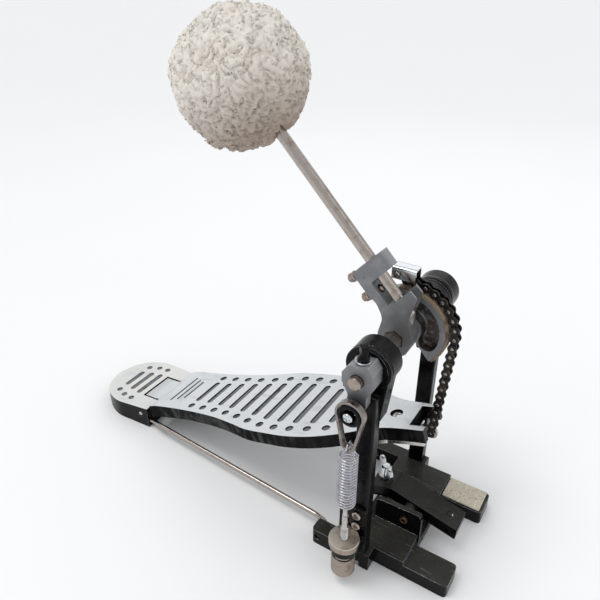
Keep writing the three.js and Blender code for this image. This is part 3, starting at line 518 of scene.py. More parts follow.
def boolean(operation, body, tools):
    flat = [t for tool in tools for t in (tool if isinstance(tool, (list, tuple)) else [tool])]
    for tool in flat:
        step = body.modifiers.new("shape", "BOOLEAN")
        step.solver, step.operation, step.object = "MANIFOLD", operation, tool
    bpy.context.view_layer.update()
    baked(body)
    for tool in flat:
        bpy.data.objects.remove(tool)
    return body


def cut(body, *tools):
    return boolean("DIFFERENCE", body, tools)


def join(body, *tools):
    return boolean("UNION", body, tools)


def common(body, *tools):
    return boolean("INTERSECT", body, tools)


def together(*objects):
    """Separate shapes as one object, without a boolean. Materials of the pieces are kept."""
    parts = [o for entry in objects for o in (entry if isinstance(entry, (list, tuple)) else [entry])]
    with bpy.context.temp_override(active_object=parts[0], selected_editable_objects=parts):
        bpy.ops.object.join()
    return parts[0]


def cleaned(obj, angle=0.06):
    """Flat faces merged, so that bevels run cleanly."""
    mesh = bmesh.new()
    mesh.from_mesh(obj.data)
    bmesh.ops.remove_doubles(mesh, verts=mesh.verts, dist=0.002)
    bmesh.ops.dissolve_limit(
        mesh, angle_limit=math.radians(angle), verts=mesh.verts, edges=mesh.edges, delimit={"MATERIAL"}
    )
    mesh.to_mesh(obj.data)
    mesh.free()
    return obj


def smoothed(obj, angle=38):
    obj.data.polygons.foreach_set("use_smooth", [True] * len(obj.data.polygons))
    obj.data.set_sharp_from_angle(angle=math.radians(angle))
    weighting = obj.modifiers.new("normals", "WEIGHTED_NORMAL")
    weighting.keep_sharp = True
    return baked(obj)


def bevelled(obj, width=0.4, segments=2, angle=32, edge=None):
    """Sharp edges rounded to a width. edge is the index of the material that the rounding gets."""
    cleaned(obj)
    step = obj.modifiers.new("edge", "BEVEL")
    step.width, step.segments, step.limit_method = width, segments, "ANGLE"
    step.angle_limit = math.radians(angle)
    step.use_clamp_overlap = True
    step.material = -1 if edge is None else edge
    return smoothed(baked(obj))


def painted(obj, *materials):
    obj.data.materials.clear()
    for material in materials:
        obj.data.materials.append(material)
    return obj


def repaint(obj, index, test):
    """Gives faces the material of that index where test(centre, normal) holds, in the shape's own frame."""
    for face in obj.data.polygons:
        if test(face.center, face.normal):
            face.material_index = index
    return obj


def place(obj, name, body, slot, at=LEVEL, nodes=None):
    """The finished piece: moved to its place, in metres, riding on its body and standing for its nodes."""
    obj.data.transform(Matrix.Scale(MM, 4) @ at)
    obj.name = obj.data.name = name
    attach(obj, body)
    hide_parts(*([name] if nodes is None else nodes))
    return obj


# --------------------------------------------------------------------------------------------- base
def base_casting():
    floor_top, platform, leg_top, step, front = 7, 13.6, 10.5, 32.5, 62
    parts = []
    for outer, inner, shelf, side in ((-44.3, -24.8, -19.7, -1), (44.7, 23.6, 19.7, 1)):
        leg = rounded(
            [(step - 8, outer), (front, outer), (front, inner), (step - 8, inner)],
            [0, 3.0, 3.0, 0],
        )
        parts.append(prism(leg, 0, leg_top))
        parts.append(block((-8, step), sorted((outer, shelf)), (0, platform)))
        lug = sorted((side * 42, side * 53))
        parts.append(prism(rounded([(-31, lug[0]), (12, lug[0]), (12, lug[1]), (-31, lug[1])], [3, 0, 2, 3]
                                   if side > 0 else [3, 2, 0, 3]), 0, 12.5))
        parts.append(block((-5, 12), lug, (0, platform)))
    near_ear = rounded([(1, 5), (33.5, 5), (33.5, 32), (1, 30.5)], [0, 0, 4, 3])
    far_ear = rounded([(9, 5), (33, 5), (33, 26.5), (9, 29.5)], [0, 0, 4, 3])
    parts += [prism(near_ear, -20, -16.5, "y"), prism(far_ear, 9.7, 13.2, "y")]
    body = join(block((-8, 33.5), (-44.3, 44.7), (0, floor_top)), parts)
    tools = [bar("y", 2.8, -30, 30, (21.7, 22.4))]
    for side in (-1, 1):
        tools.append(bar("y", 2.2, *sorted((side * 41, side * 54)), (-26.6, 6.5)))
        tools += [bar("z", 2.8, -1, 15, (3.2, side * 48.7)), bar("z", 4.8, -1, 4.3, (3.2, side * 48.7))]
    painted(cut(body, tools), DUSTY, WORN_HIGHLIT)
    place(bevelled(body, 0.7, 3, edge=1), "base_casting", "frame", "black_paint")


def upright(side, word):
    def span(a, b):
        return sorted((side * a, side * b))

    post = prism(rounded([(-2.3, span(44.5, 53)[0]), (9, span(44.5, 53)[0]), (9, span(44.5, 53)[1]),
                          (-2.3, span(44.5, 53)[1])], 1.6), 13.9, 141.5)
    barrel = turned((0, side * 31, SHAFT_Z), (0, side * 47, SHAFT_Z),
                    [(0, 13.2), (0.8, 14), (12.6, 14), (12.9, 13.4), (13.5, 13.4), (13.8, 14), (15.4, 14),
                     (16, 13.4)], 96)
    gusset = prism([(-2.3, 122), (9, 122), (12.6, 151), (-12, 151)], *span(36, 46.9), "y")
    body = join(post, barrel, gusset)
    tools = [bar("y", 11.2, *span(39.3, 48), (0, SHAFT_Z), 96), bar("y", 8, *span(30, 45), (0, SHAFT_Z), 64),
             bar("z", 2.8, 13, 34, (3.2, side * 48.7))]
    painted(cut(body, tools), BLACK, WORN_HIGHLIT)
    name = f"{word}_upright"
    place(bevelled(body, 0.45, 2, edge=1), name, "frame", "black_paint")
    for kind, outer, inner, half, paint, owner in (
        ("bearing_outer_ring", 11, 9, 3.5, BRIGHT, "frame"), ("bearing_cage", 8.7, 6.35, 2.5, NICKEL, f"{word}_cage"),
        ("bearing_inner_ring", 6.05, 4.05, 3.5, STEEL, "rotor"),
    ):
        middle = side * 43.1
        made = ring("y", outer, inner, middle - half, middle + half, sides=96)
        if outer == 11:
            made = join(made, ring("y", 12.5, 9, *span(46.5, 47.5), sides=96))
        painted(made, paint, BLACK)
        if outer == 11:
            repaint(made, 1, lambda c, n: side * n.y > 0.5 and math.hypot(c.x, c.z) < 11.9)
        slot = "nickel" if kind == "bearing_cage" else "steel"
        place(bevelled(made, 0.35), f"{word}_{kind}", owner, slot, ROTOR)


def clamp():
    profile = rounded([(-10, 19), (-10, 27.6), (6, 33), (54.6, 22), (54.1, 13.1), (47, 14.8), (14, 22.6),
                       (5.5, 24.1)], [1.5, 2.5, 9, 1.2, 1.2, 3, 6, 6])
    body = prism(profile, -9.2, 9.2, "y")
    boss = bar("y", 6, -16.2, 9.2, (21.7, 22), 64)
    dimple = (46.2, 0)
    top = 33 - 11 * (dimple[0] - 6) / 48.6
    trench = cut(bar("z", 2.4, top - 0.6, 40, dimple), bar("z", 1.5, 0, 50, dimple))
    body = cut(join(body, boss), bar("y", 2.8, -30, 30, (21.7, 22.4)), bar("z", 3.1, 10, 40, (-1.8, 0)), trench)
    body = bevelled(painted(body, SATIN, WORN_HIGHLIT, BRIGHT), 0.5, 2, edge=1)
    repaint(body, 2, lambda c, n: 1.3 < math.hypot(c.x - dimple[0], c.y) < 2.6 and c.z > top - 2)
    place(body, "clamp_lever", "lever", "black_paint")

    pin = cut(bar("y", 2.55, -21.1, 13.2, (21.7, 22.4)), bar("y", 1.45, -22.5, -12.5, (21.7, 22.4)))
    pin = bevelled(painted(pin, BRASS, BLACK), 0.2)
    # the inside of the pin's bore is painted black: painted shade in the hole
    repaint(pin, 1, lambda c, n: -20.6 < c.y < -12 and math.hypot(c.x - 21.7, c.z - 22.4) < 1.6)
    place(pin, "lever_pin", "frame", "nickel")

    x, hub = -1.8, 34.5
    thread = [(0.4 * k, 2.8 - 0.28 * (k % 2)) for k in range(1, 62)]
    stem = turned((x, 0, 7.6), (x, 0, 35.5), [(0, 2.0), *thread, (27.9, 2.8)], 32)
    knob = turned((x, 0, hub), (x, 0, hub + 8), [(0, 4.6), (0.7, 5), (6.5, 3.9), (7.6, 3.2), (8, 2.2)], 40)
    wings = []
    for flip in (1, -1):
        lobe = [(flip * x, z) for x, z in arc(6.9, 7.6, 3.7, -115, 165, 28)]
        blade = [(flip * 1.5, 0.8), *lobe, (flip * 1.5, 7.6)]
        wings.append(bevelled(prism(blade, -1.3, 1.3, "y"), 0.8, 3))
    spin = Matrix.Translation((x, 0, hub - 1)) @ Matrix.Rotation(-math.pi / 4, 4, "Z")
    for wing in wings:
        wing.data.transform(spin)
    screw = smoothed(together(stem, knob, wings))
    place(painted(screw, CHROME), "wing_screw", "wing_screw", "chrome")

    pad = prism(rounded([(33, 24.6), (60, 24.6), (60, 43.9), (33, 43.9)], 0.8), 10.8, 12.1)
    place(bevelled(painted(pad, PAD), 0.35, 3), "far_leg_pad", "frame", "hoop_pad")


# ------------------------------------------------------------------------------- heel and footboard
HEEL_EDGE = [(-275, 2), (-271, 14.5), (-264, 23.5), (-255, 29), (-243, 32.2), (-228, 31.4), (-209.6, 30)]
BOARD_EDGE = [(13, 28.2), (53, 28), (89, 30.6), (114, 35.3), (131, 39.2), (150, 40), (168, 39.7), (187, 36.2),
              (206, 28.8), (221, 20.6), (232, 16.6), (245, 15.1), (258.1, 14.6)]
BOARD_LENGTH, BOARD_ROOF = 258.1, 9.05
TOE_SCREW = (233.4, 0.6)


def smooth_line(points, steps=8):
    """Points along a smooth curve through the given ones."""
    ends = [Vector(p) for p in points]
    ends = [2 * ends[0] - ends[1], *ends, 2 * ends[-1] - ends[-2]]
    made = []
    for a, b, c, d in zip(ends, ends[1:], ends[2:], ends[3:]):
        for k in range(steps):
            t = k / steps
            made.append(0.5 * (2 * b + (c - a) * t + (2 * a - 5 * b + 4 * c - d) * t**2
                               + (3 * b - a - 3 * c + d) * t**3))
    return [*made, ends[-2]]


def plan(edge, inset=0.0, steps=8):
    side = [(x, y - inset) for x, y in smooth_line(edge, steps)]
    return [*side, *[(x, -y) for x, y in reversed(side)]]


def slot_outline(x, y, reach, radius):
    """A slot across the board, or a round dot where reach is 0."""
    return [*arc(x, y + reach, radius, 0, 180, 14), *arc(x, y - reach, radius, 180, 360, 14)][:None if reach else -1]


def heel_top(x):
    return 13.4 + 0.095 * (x + 275)


def heel_plate():
    roof = prism([(-280, -1), (-200, -1), (-200, heel_top(-200)), (-280, heel_top(-280))], -40, 40, "y")
    body = common(prism(plan(HEEL_EDGE), 0, 30), roof)
    under = prism([(-280, -2), (-200, -2), (-200, heel_top(-200) - 4), (-280, heel_top(-280) - 4)], -41, 41, "y")
    hollow = common(prism(plan(HEEL_EDGE[1:], 3.2), -1, 30), under, block((-267, -231), (-40, 40), (-2, 30)))
    holes = []
    for x, reach, dot in ((-254.3, 9, 19.1), (-244.7, 11.8, 22.7), (-235.1, 13.4, 23.5)):
        holes += [slot_outline(x, 0, reach, 2.3), slot_outline(x, dot, 0, 2.6), slot_outline(x, -dot, 0, 2.6)]
    tools = [prism(hole, heel_top(hole[0][0]) - 1.1, 40) for hole in holes]
    tools += [hollow, block((-227.8, -200), (-15.7, 15.7), (-1, 40)),
              bar("y", 2.6, -40, 40, (HINGE_X, HINGE_Z))]
    tools += [bar("x", 2.2, -215, -200, (side * 27, 6)) for side in (-1, 1)]
    body = painted(cut(body, tools), BLACK, HEEL_TOP, RECESS)
    cleaned(body)
    repaint(body, 1, lambda c, n: n.z > 0.9 and abs(c.z - heel_top(c.x)) < 0.3)
    repaint(body, 2, lambda c, n: n.z > 0.9 and 0.3 < heel_top(c.x) - c.z < 3)
    place(bevelled(body, 0.35, 2, edge=1), "heel_plate", "frame", "board_metal")
    pin = turned((HINGE_X, -30.5, HINGE_Z), (HINGE_X, 30.5, HINGE_Z),
                 [(0, 1.3), (0.5, 2.1), (1.1, 2.4), (59.9, 2.4), (60.5, 2.1), (61, 1.3)], 32)
    place(smoothed(painted(pin, BRIGHT)), "hinge_pin", "frame", "steel")


def footboard():
    roof = [(7.2, -3), (8.3, 4.2), (9.6, 5.8), (12, 7), (15.5, 8), (20, 8.7), (25, 9), (29, BOARD_ROOF),
            (BOARD_LENGTH, BOARD_ROOF), (BOARD_LENGTH, -0.45), (60, -0.45), (30, -1.45), (9.6, -3)]
    body = common(prism(plan(BOARD_EDGE, steps=12), -10, 20), prism(roof[2:], -45, 45, "y"))
    tongue = prism([(-5.7, 8.4), (6, 5.8), (16, 6), (16, -3.5), (0, -5.6), (-9, -2.8)], -14.1, 14.1, "y")
    body = join(body, tongue)
    hollow = common(prism(plan(BOARD_EDGE, 3, 12), -12, BOARD_ROOF - 4), block((30, 226), (-45, 45), (-12, 20)))
    hollow = cut(hollow, [block((x, x + 3), (-45, 45), (-0.2, 20)) for x in (80, 130, 180)])
    reaches = [14.4, 14.7, 16, 17.8, 20, 22.5, 25, 25.7, 24.7, 22.3, 18.6]
    dots = [21, 21.7, 22.7, 24, 26.1, 29.3, 31.6, 32.2, 31.2, 28.7, 25]
    holes = []
    for row, (reach, dot) in enumerate(zip(reaches, dots)):
        x = 59.3 + 13.34 * row
        holes += [slot_outline(x, 0, reach - 2.5, 2.5), slot_outline(x, dot, 0, 3), slot_outline(x, -dot, 0, 3)]
    tools = [prism(hole, BOARD_ROOF - 1.1, 20) for hole in holes]
    for k in range(3):
        groove = slot_outline(30.5 + 6 * k, 0, 17 - 2.5 * k, 1.0)
        tools.append(prism(groove, BOARD_ROOF - 0.5, 20))
    tools += [hollow, block((247.2, 270), (-10.2, 11.3), (-20, 20)), bar("y", 2.6, -20, 20, (0, 0)),
              bar("z", 2.8, -12, 20, TOE_SCREW), bar("z", 4.35, BOARD_ROOF - 4, 20, TOE_SCREW, 64)]
    body = painted(cut(body, tools), BLACK, BOARD_TOP, RECESS)
    cleaned(body)
    repaint(body, 1, lambda c, n: n.z > 0.3 and c.z > 5.5 and (c.z > BOARD_ROOF - 0.2 or c.x < 29))
    repaint(body, 2, lambda c, n: n.z > 0.9 and BOARD_ROOF - 1.8 < c.z < BOARD_ROOF - 0.3 and c.x > 29)
    place(bevelled(body, 0.35, 2, edge=1), "footboard", "board", "board_metal", BOARD)


def toe():
    strip = prism(rounded([(212, -24), (221, -20), (232, -16.1), (245, -14.7), (256.5, -14.2), (256.5, -10.6),
                           (246.5, -9.5), (246.5, 11), (244, 14), (232, 16), (221, 20), (212, 24)], 1.2), -3.2, -0.6)
    x, z, radius = 251.33, -8.34, 4.4
    lug = [(233, -2.7), (x - 8, z - 4.2), *arc(x, z, radius, -109, 103, 20), (245.5, -2.7)]
    body = join(strip, prism(lug, 6.9, 8.9, "y"))
    body = cut(body, bar("y", 2.7, 0, 20, (x, z)), bar("z", 2.8, -5, 2, TOE_SCREW))
    place(bevelled(painted(body, BRIGHT), 0.35), "toe_bracket", "board", "steel", BOARD)
    screw = turned((*TOE_SCREW, -7.5), (*TOE_SCREW, 8), [(0, 1.9), (0.4, 2.3), (12.8, 2.3), (13.2, 3.9), (14.4, 4),
                                                         (15.1, 3.3), (15.5, 2.2)])
    slots = [block((TOE_SCREW[0] - 2.6, TOE_SCREW[0] + 2.6), (0.2, 1.0), (6.7, 9)),
             block((TOE_SCREW[0] - 0.4, TOE_SCREW[0] + 0.4), (-2, 3.2), (6.7, 9))]
    place(bevelled(painted(cut(screw, slots), BRIGHT), 0.15), "toe_screw", "board", "steel", BOARD)
    nut = cut(bar("z", 4.4, -6.4, -3.05, TOE_SCREW, 6), bar("z", 2.6, -8, 0, TOE_SCREW))
    place(bevelled(painted(nut, STEEL), 0.4), "toe_nut", "board", "steel", BOARD)


def radius_rods():
    for side, word in ((-1, "near"), (1, "far")):
        points = [(-214, side * 27, 6), (-205.5, side * 27, 6), (-196, side * 30, 9), (-34, side * 39.4, 10.4),
                  (-26.6, side * 39.4, 6.5), (-26.6, side * 51.5, 6.5)]
        made = painted(tube(points, 1.9, 24, 5), STEEL)
        place(smoothed(made, 60), f"{word}_radius_rod", "frame", "steel")


# ------------------------------------------------------------------------- shaft, holder and beater
HEX = 10.4 / math.sqrt(3)
BALL = Vector((-107.9, -8, 139.1))
ROD_ANGLE = math.atan2(0.727, 0.687)
ALONG = Vector((math.cos(ROD_ANGLE), 0, -math.sin(ROD_ANGLE)))
ACROSS = Vector((math.sin(ROD_ANGLE), 0, math.cos(ROD_ANGLE)))


def on_rod(distance):
    return BALL + ALONG * distance


def flat(point):
    return point.x, point.z


def hexagon(flats, low, high):
    return bar("y", flats / math.sqrt(3), low, high, (0, 0), 6, turn=0.0)


def hex_points(flats):
    radius = flats / math.sqrt(3)
    return [(radius * math.sin(math.pi / 3 * k), radius * math.cos(math.pi / 3 * k)) for k in range(6)]


def shaft():
    ends = turned((0, -64, 0), (0, 60, 0), [(0, 3.3), (0.7, 3.95), (123.3, 3.95), (124, 3.3)], 64)
    body = join(ends, prism(hex_points(10.4), -29.5, 29.5, "y"))
    place(bevelled(painted(body, NICKEL), 0.35), "shaft", "rotor", "steel", ROTOR)
    collar = turned((0, 47.3, 0), (0, 62, 0), [(0, 13.2), (0.6, 14), (3.2, 14), (3.3, 13.7), (3.8, 13.7), (3.9, 14),
                                               (13.6, 14), (14.4, 13.6), (14.7, 12.6)], 96)
    collar = painted(cut(collar, bar("y", 4.25, 40, 60.5)), BLACK, PALE_NICKEL)
    repaint(collar, 1, lambda c, n: 50.6 < c.y < 51.2 and math.hypot(c.x, c.z) > 10)
    place(smoothed(collar), "far_end_collar", "rotor", "black_paint", ROTOR)


def holder():
    outline = rounded(
        [(-29.3, 36.4), (-12, 55), (-4.2, 47.8), (-16.8, 33.7), (-4.6, 21.4), (7.1, 35.1), (11.6, 31), (8.1, 18.1),
         (8.3, 11), (11.4, 2), (8.1, -9.2), (-2, -11.2), (-9.8, -5.6), (-10.5, 2), (-8, 12.7), (-12.8, 21.5),
         (-17.5, 24.1), (-23.8, 30.7)],
        [0.8, 0.8, 0.8, 1.5, 1.5, 0.8, 2.5, 9, 6, 8, 7, 8, 8, 6, 9, 9, 6, 2], 7)
    body = prism(outline, -13, -2.9, "y")
    nose = 7.25
    corner = prism([flat(on_rod(d) + ACROSS * a) for d, a in ((120, nose), (144, nose), (144, 20), (120, 20))],
                   -14, -2, "y")
    middle = ACROSS * nose + Vector((0, 0.05, 0))
    corner = cut(corner, rod(on_rod(110) + middle, on_rod(150) + middle, 5.05, 96))
    channel = [flat(on_rod(d) + ACROSS * a) for d, a in ((150, 0), (182, 0), (182, 28), (150, 28))]
    tools = [corner, prism(channel, -11.8, -4.2, "y"), rod(on_rod(60), on_rod(200), 3.8),
             prism(hex_points(11), -20, 0, "y")]
    screws = []
    for x, z in ((-32.6, 29.6), (-22.8, 19.4)):
        foot = Vector((x, -8, z))
        reach = (BALL - foot).dot(ACROSS)
        tools.append(rod(foot, foot + ACROSS * (reach - 3.8), 2.8))
        screws.append((foot, reach))
    place(bevelled(painted(cut(body, tools), GREY), 0.55, 3), "beater_holder", "rotor", "cast_grey", ROTOR)
    for word, (foot, reach) in zip(("upper", "lower"), screws):
        thread = [(2 + 0.35 * k, 2.3 - 0.22 * (k % 2)) for k in range(int((reach - 6.2) / 0.35))]
        stem = turned(foot, foot + ACROSS, [(0, 2.3), *thread, (reach - 4, 1.6)], 32)
        flange = turned(foot + ACROSS * 3.2, foot + ACROSS * 5.6, [(0, 2.6), (0.5, 3.1), (1.9, 3.3), (2.4, 2.8)], 40)
        head = bevelled(rod(foot, foot + ACROSS * 3.6, 3.3, 4, 0.6, math.pi / 4), 0.45, 3)
        socket = rod(foot + ACROSS * 1.2, foot + ACROSS * 3.4, 2.9, 40, 0.3)
        made = smoothed(painted(together(stem, flange, head, socket), NICKEL))
        place(made, f"{word}_holder_screw", "rotor", "steel", ROTOR)


def beater():
    made = painted(rod(on_rod(-16), on_rod(168), 3.5, 64, 0.5), STEEL)
    place(smoothed(made), "beater_rod", "beater", "steel", ROTOR)


def lumps(at):
    """How far the wool stands out at a place on the ball, from 0 in a crease to 1 on a curl."""
    bent = at + noise.noise_vector(at * 0.09) * 3.0 + noise.noise_vector(at * 0.3) * 1.1
    coarse = abs(noise.noise(bent * 0.115))
    middle = abs(noise.noise(bent * 0.23 + Vector((3, 9, 4))))
    fine = abs(noise.noise(bent * 0.55 + Vector((5, 1, 7))))
    return min(1, (coarse * 1.0 + middle * 1.2 + fine * 0.5) ** 0.8)


def wool_radius(way, curl):
    at = way * 40
    swell = noise.noise(at * 0.045) * 1.8 + noise.noise(at * 0.1 + Vector((7, 3, 1))) * 1.0
    neck = max(way.dot(ALONG) - 0.97, 0) / 0.03
    return 37.0 + swell + 3.4 * curl + 0.2 * noise.noise(at * 1.6) - 1.2 * neck


def locks(count, seed):
    """Short curling locks that stand out of the wool: their points, faces and the painted shade of each point, darker
    at the root and in creases.
    """
    dice = random.Random(seed)
    points, faces, painted_shade = [], [], []
    sides, steps = 3, 4
    for _ in range(count):
        way = Vector([dice.gauss(0, 1) for _ in range(3)]).normalized()
        if way.dot(ALONG) > 0.95:
            continue
        curl = lumps(way * 40)
        root = way * (wool_radius(way, curl) - 0.7)
        side, other = basis((0, 0, 0), way)
        start, sweep_angle = dice.uniform(0, 2 * math.pi), dice.choice((-1, 1)) * dice.uniform(2.2, 4.4)
        reach, height = dice.uniform(0.8, 1.9), dice.uniform(0.5, 1.3)
        first = len(points)
        for k in range(steps + 1):
            t = k / steps
            angle = start + sweep_angle * t
            centre = root + way * height * t + (side * math.cos(angle) + other * math.sin(angle)) * reach * t**0.7
            for j in range(sides):
                turn = 2 * math.pi * j / sides
                around = (side * math.cos(turn) + other * math.sin(turn)) * (0.75 - 0.45 * t)
                points.append(centre + around)
                # painted shade: darker where the lock sits in a crease and at its root, lighter towards its tip
                painted_shade.append(0.2 + 0.6 * curl + 0.25 * t)
        for k in range(steps):
            for j in range(sides):
                a, b = first + k * sides, first + (k + 1) * sides
                faces.append((a + j, a + (j + 1) % sides, b + (j + 1) % sides, b + j))
        faces.append(tuple(range(first + steps * sides, first + steps * sides + sides)))
    return points, faces, painted_shade


def fleece():
    """A ball of sheepskin: creased lumps of wool, with short locks curling out of it all over."""
    mesh = bmesh.new()
    bmesh.ops.create_icosphere(mesh, subdivisions=7, radius=1)
    points, painted_shade = [], []
    for vert in mesh.verts:
        way = vert.co.normalized()
        curl = lumps(way * 40)
        points.append(way * wool_radius(way, curl))
        painted_shade.append(curl)
    faces = [tuple(vert.index for vert in face.verts) for face in mesh.faces]
    mesh.free()
    more, sides, lock_shade = locks(5200, 11)
    faces += [tuple(i + len(points) for i in face) for face in sides]
    points += more
    painted_shade += lock_shade
    made = bpy.data.meshes.new("shape")
    made.from_pydata([BALL + p for p in points], [], faces)
    # how far each point faces down and away from the key light: painted shade on the underside, stored as 'under'
    below = [0.5 + 0.5 * p.normalized().dot(Vector((0.45, -0.05, -0.89))) for p in points]
    for name, values in (("curl", painted_shade), ("under", below)):
        made.attributes.new(name, "FLOAT", "POINT").data.foreach_set("value", values)
    ball = bpy.data.objects.new("shape", made)
    bpy.context.scene.collection.objects.link(ball)
    made.polygons.foreach_set("use_smooth", [True] * len(made.polygons))
    place(painted(ball, WOOL), "beater_fleece", "beater", "fleece", ROTOR, ["beater_fleece"])


# --------------------------------------------------------------------------------- wheel and chain
def wheel():
    near, far = 3.4, 12.6
    floor_y = far - 2.4
    body = sector([(25.4, near), (25.4, far), (7, far), (7, near)], -48, 122, 120)
    hub = bar("y", 9.3, -2.6, far, (0, 0), 96)
    outer, inner, first, last = 21.9, 10.6, -23, 84
    middle, cap = (outer + inner) / 2, (outer - inner) / 2
    caps = [(middle * math.cos(math.radians(a)), middle * math.sin(math.radians(a))) for a in (first, last)]
    pocket = [*arc(0, 0, outer, first, last, 60), *arc(*caps[1], cap, last, last + 180, 16)[1:-1],
              *arc(0, 0, inner, last, first, 40), *arc(*caps[0], cap, first + 180, first + 360, 16)[1:-1]]
    well = bevelled(prism(pocket, near - 6, floor_y, "y"), 1.6, 4)
    body = cut(join(body, hub), well, prism(hex_points(11), -10, 20, "y"))
    painted(cleaned(body), GREY, POCKET_RUST_AND_SHADE)
    # the pocket's walls and floor take the dark pocket material: painted shade in the recess, with a rust tint
    repaint(body, 1, lambda c, n: near + 2.2 < c.y < floor_y + 0.1 and 10 < math.hypot(c.x, c.z) < 22 and n.y < 0.3)
    place(bevelled(body, 0.9, 3, angle=40), "chain_wheel", "rotor", "cast_grey", ROTOR)
    strip = sector([(25.5, 3.8), (26.8, 3.8), (26.8, 12.2), (25.5, 12.2)], -46, 104, 110)
    mesh = bmesh.new()
    mesh.from_mesh(strip.data)
    bmesh.ops.subdivide_edges(mesh, edges=[e for e in mesh.edges if e.calc_length() > 3], cuts=9, use_grid_fill=True)
    for vert in mesh.verts:
        out = Vector((vert.co.x, 0, vert.co.z)).normalized()
        if vert.co.xz.length > 26.3:
            vert.co += out * 0.22 * noise.noise(vert.co * 0.9)
        vert.co.y += 0.3 * noise.noise(vert.co * 0.7)
    mesh.to_mesh(strip.data)
    mesh.free()
    place(smoothed(painted(strip, FELT), 60), "wheel_felt", "rotor", "felt", ROTOR)


PITCH, CHAIN_Y = 6.35, 7.9
PIN_CIRCLE, FIRST_PIN, LEAN = 30.3, math.radians(83.8), 0.085
CHAIN_STEP = 2 * math.asin(PITCH / 2 / PIN_CIRCLE)
FIRST_LINK, LAST_ON_WHEEL, LAST_LINK = -1, 7, 18


def pin_at(k):
    """Pin k of the chain, from the shaft: on the wheel up to pin 7, then hanging in a straight line."""
    angle = FIRST_PIN - min(k, LAST_ON_WHEEL) * CHAIN_STEP
    below = max(k - LAST_ON_WHEEL, 0) * PITCH
    return (PIN_CIRCLE * math.cos(angle) - below * math.sin(LEAN),
            PIN_CIRCLE * math.sin(angle) - below * math.cos(LEAN))


def side_plate(k, low, high):
    (ax, az), (bx, bz) = pin_at(k), pin_at(k + 1)
    turn = math.degrees(math.atan2(bz - az, bx - ax))
    radius, waist = 2.9, 1.75
    ends = arc(ax, az, radius, turn + 52, turn + 308, 16), arc(bx, bz, radius, turn + 232, turn + 488, 16)
    middle = Vector(((ax + bx) / 2, (az + bz) / 2))
    across = Vector((-math.sin(math.radians(turn)), math.cos(math.radians(turn))))
    points = [*ends[0], tuple(middle - across * waist), *ends[1], tuple(middle + across * waist)]
    return bevelled(prism(points, low, high, "y"), 0.13, 1)


def chain_link(k):
    """Outer links carry the pins, and inner links the rollers."""
    outer = k % 2 == 0
    half = 2.7 if outer else 1.85
    made = [painted(side_plate(k, CHAIN_Y + s * half - (0.7 if s > 0 else 0), CHAIN_Y + s * half + (0 if s > 0 else 0.7)),
                    CHAIN_BLACK) for s in (-1, 1)]
    for x, z in (pin_at(k), pin_at(k + 1)):
        a, b = (x, CHAIN_Y - 3, z), (x, CHAIN_Y + 3, z)
        if outer:
            made.append(painted(turned(a, b, [(0, 0.6), (0.15, 1.0), (0.45, 1.25), (0.5, 1.1), (5.5, 1.1),
                                              (5.55, 1.25), (5.85, 1.0), (6, 0.6)], 20), CHAIN_PIN))
        else:
            made.append(painted(turned(a, b, [(1.9, 1.45), (2.1, 1.65), (3.9, 1.65), (4.1, 1.45)], 20), CHAIN_BLACK))
    return made


def chain():
    runs = {"chain_on_wheel": (range(FIRST_LINK, 4), "rotor"), "chain_hanging": (range(7, LAST_LINK + 1), "chain")}
    for k in (4, 5, 6):
        runs[f"chain_link_{k}"] = (range(k, k + 1), f"link_{k}")
    for name, (links, body) in runs.items():
        made = together([part for k in links for part in chain_link(k)])
        if name == "chain_hanging":
            x, z = pin_at(LAST_LINK + 1)
            made = together(made, painted(turned((x, CHAIN_Y - 3, z), (x, CHAIN_Y + 3, z),
                                                 [(0, 0.6), (0.15, 1.0), (0.5, 1.1), (5.5, 1.1), (6, 0.6)], 20),
                                          CHAIN_PIN))
        place(smoothed(made, 50), name, body, "chain_steel", ROTOR)


def clip():
    """A saddle bent from sheet over the chain's end, open below."""
    wall, foot, top = 1.2, 31.4, 39.4
    near, far = CHAIN_Y - 4.7, CHAIN_Y + 4.7
    section = rounded(
        [(near, foot), (near, top), (far, top), (far, foot), (far - wall, foot), (far - wall, top - wall),
         (near + wall, top - wall), (near + wall, foot)],
        [0, 2.6, 2.6, 0, 0, 1.5, 1.5, 0], 8)
    rivet = (-8.2, 34.3)
    body = prism(section, -11.5, 3.6, "x")
    place(bevelled(painted(body, CHROME), 0.2, 2, 45), "chain_clip", "rotor", "chrome", ROTOR)
    pin = turned((rivet[0], 1.9, rivet[1]), (rivet[0], 13.5, rivet[1]),
                 [(0, 1.4), (0.4, 2.1), (0.9, 2.2), (1, 1.2), (11.2, 1.2), (11.6, 0.9)], 32)
    place(smoothed(painted(pin, BRIGHT)), "clip_rivet", "rotor", "steel", ROTOR)


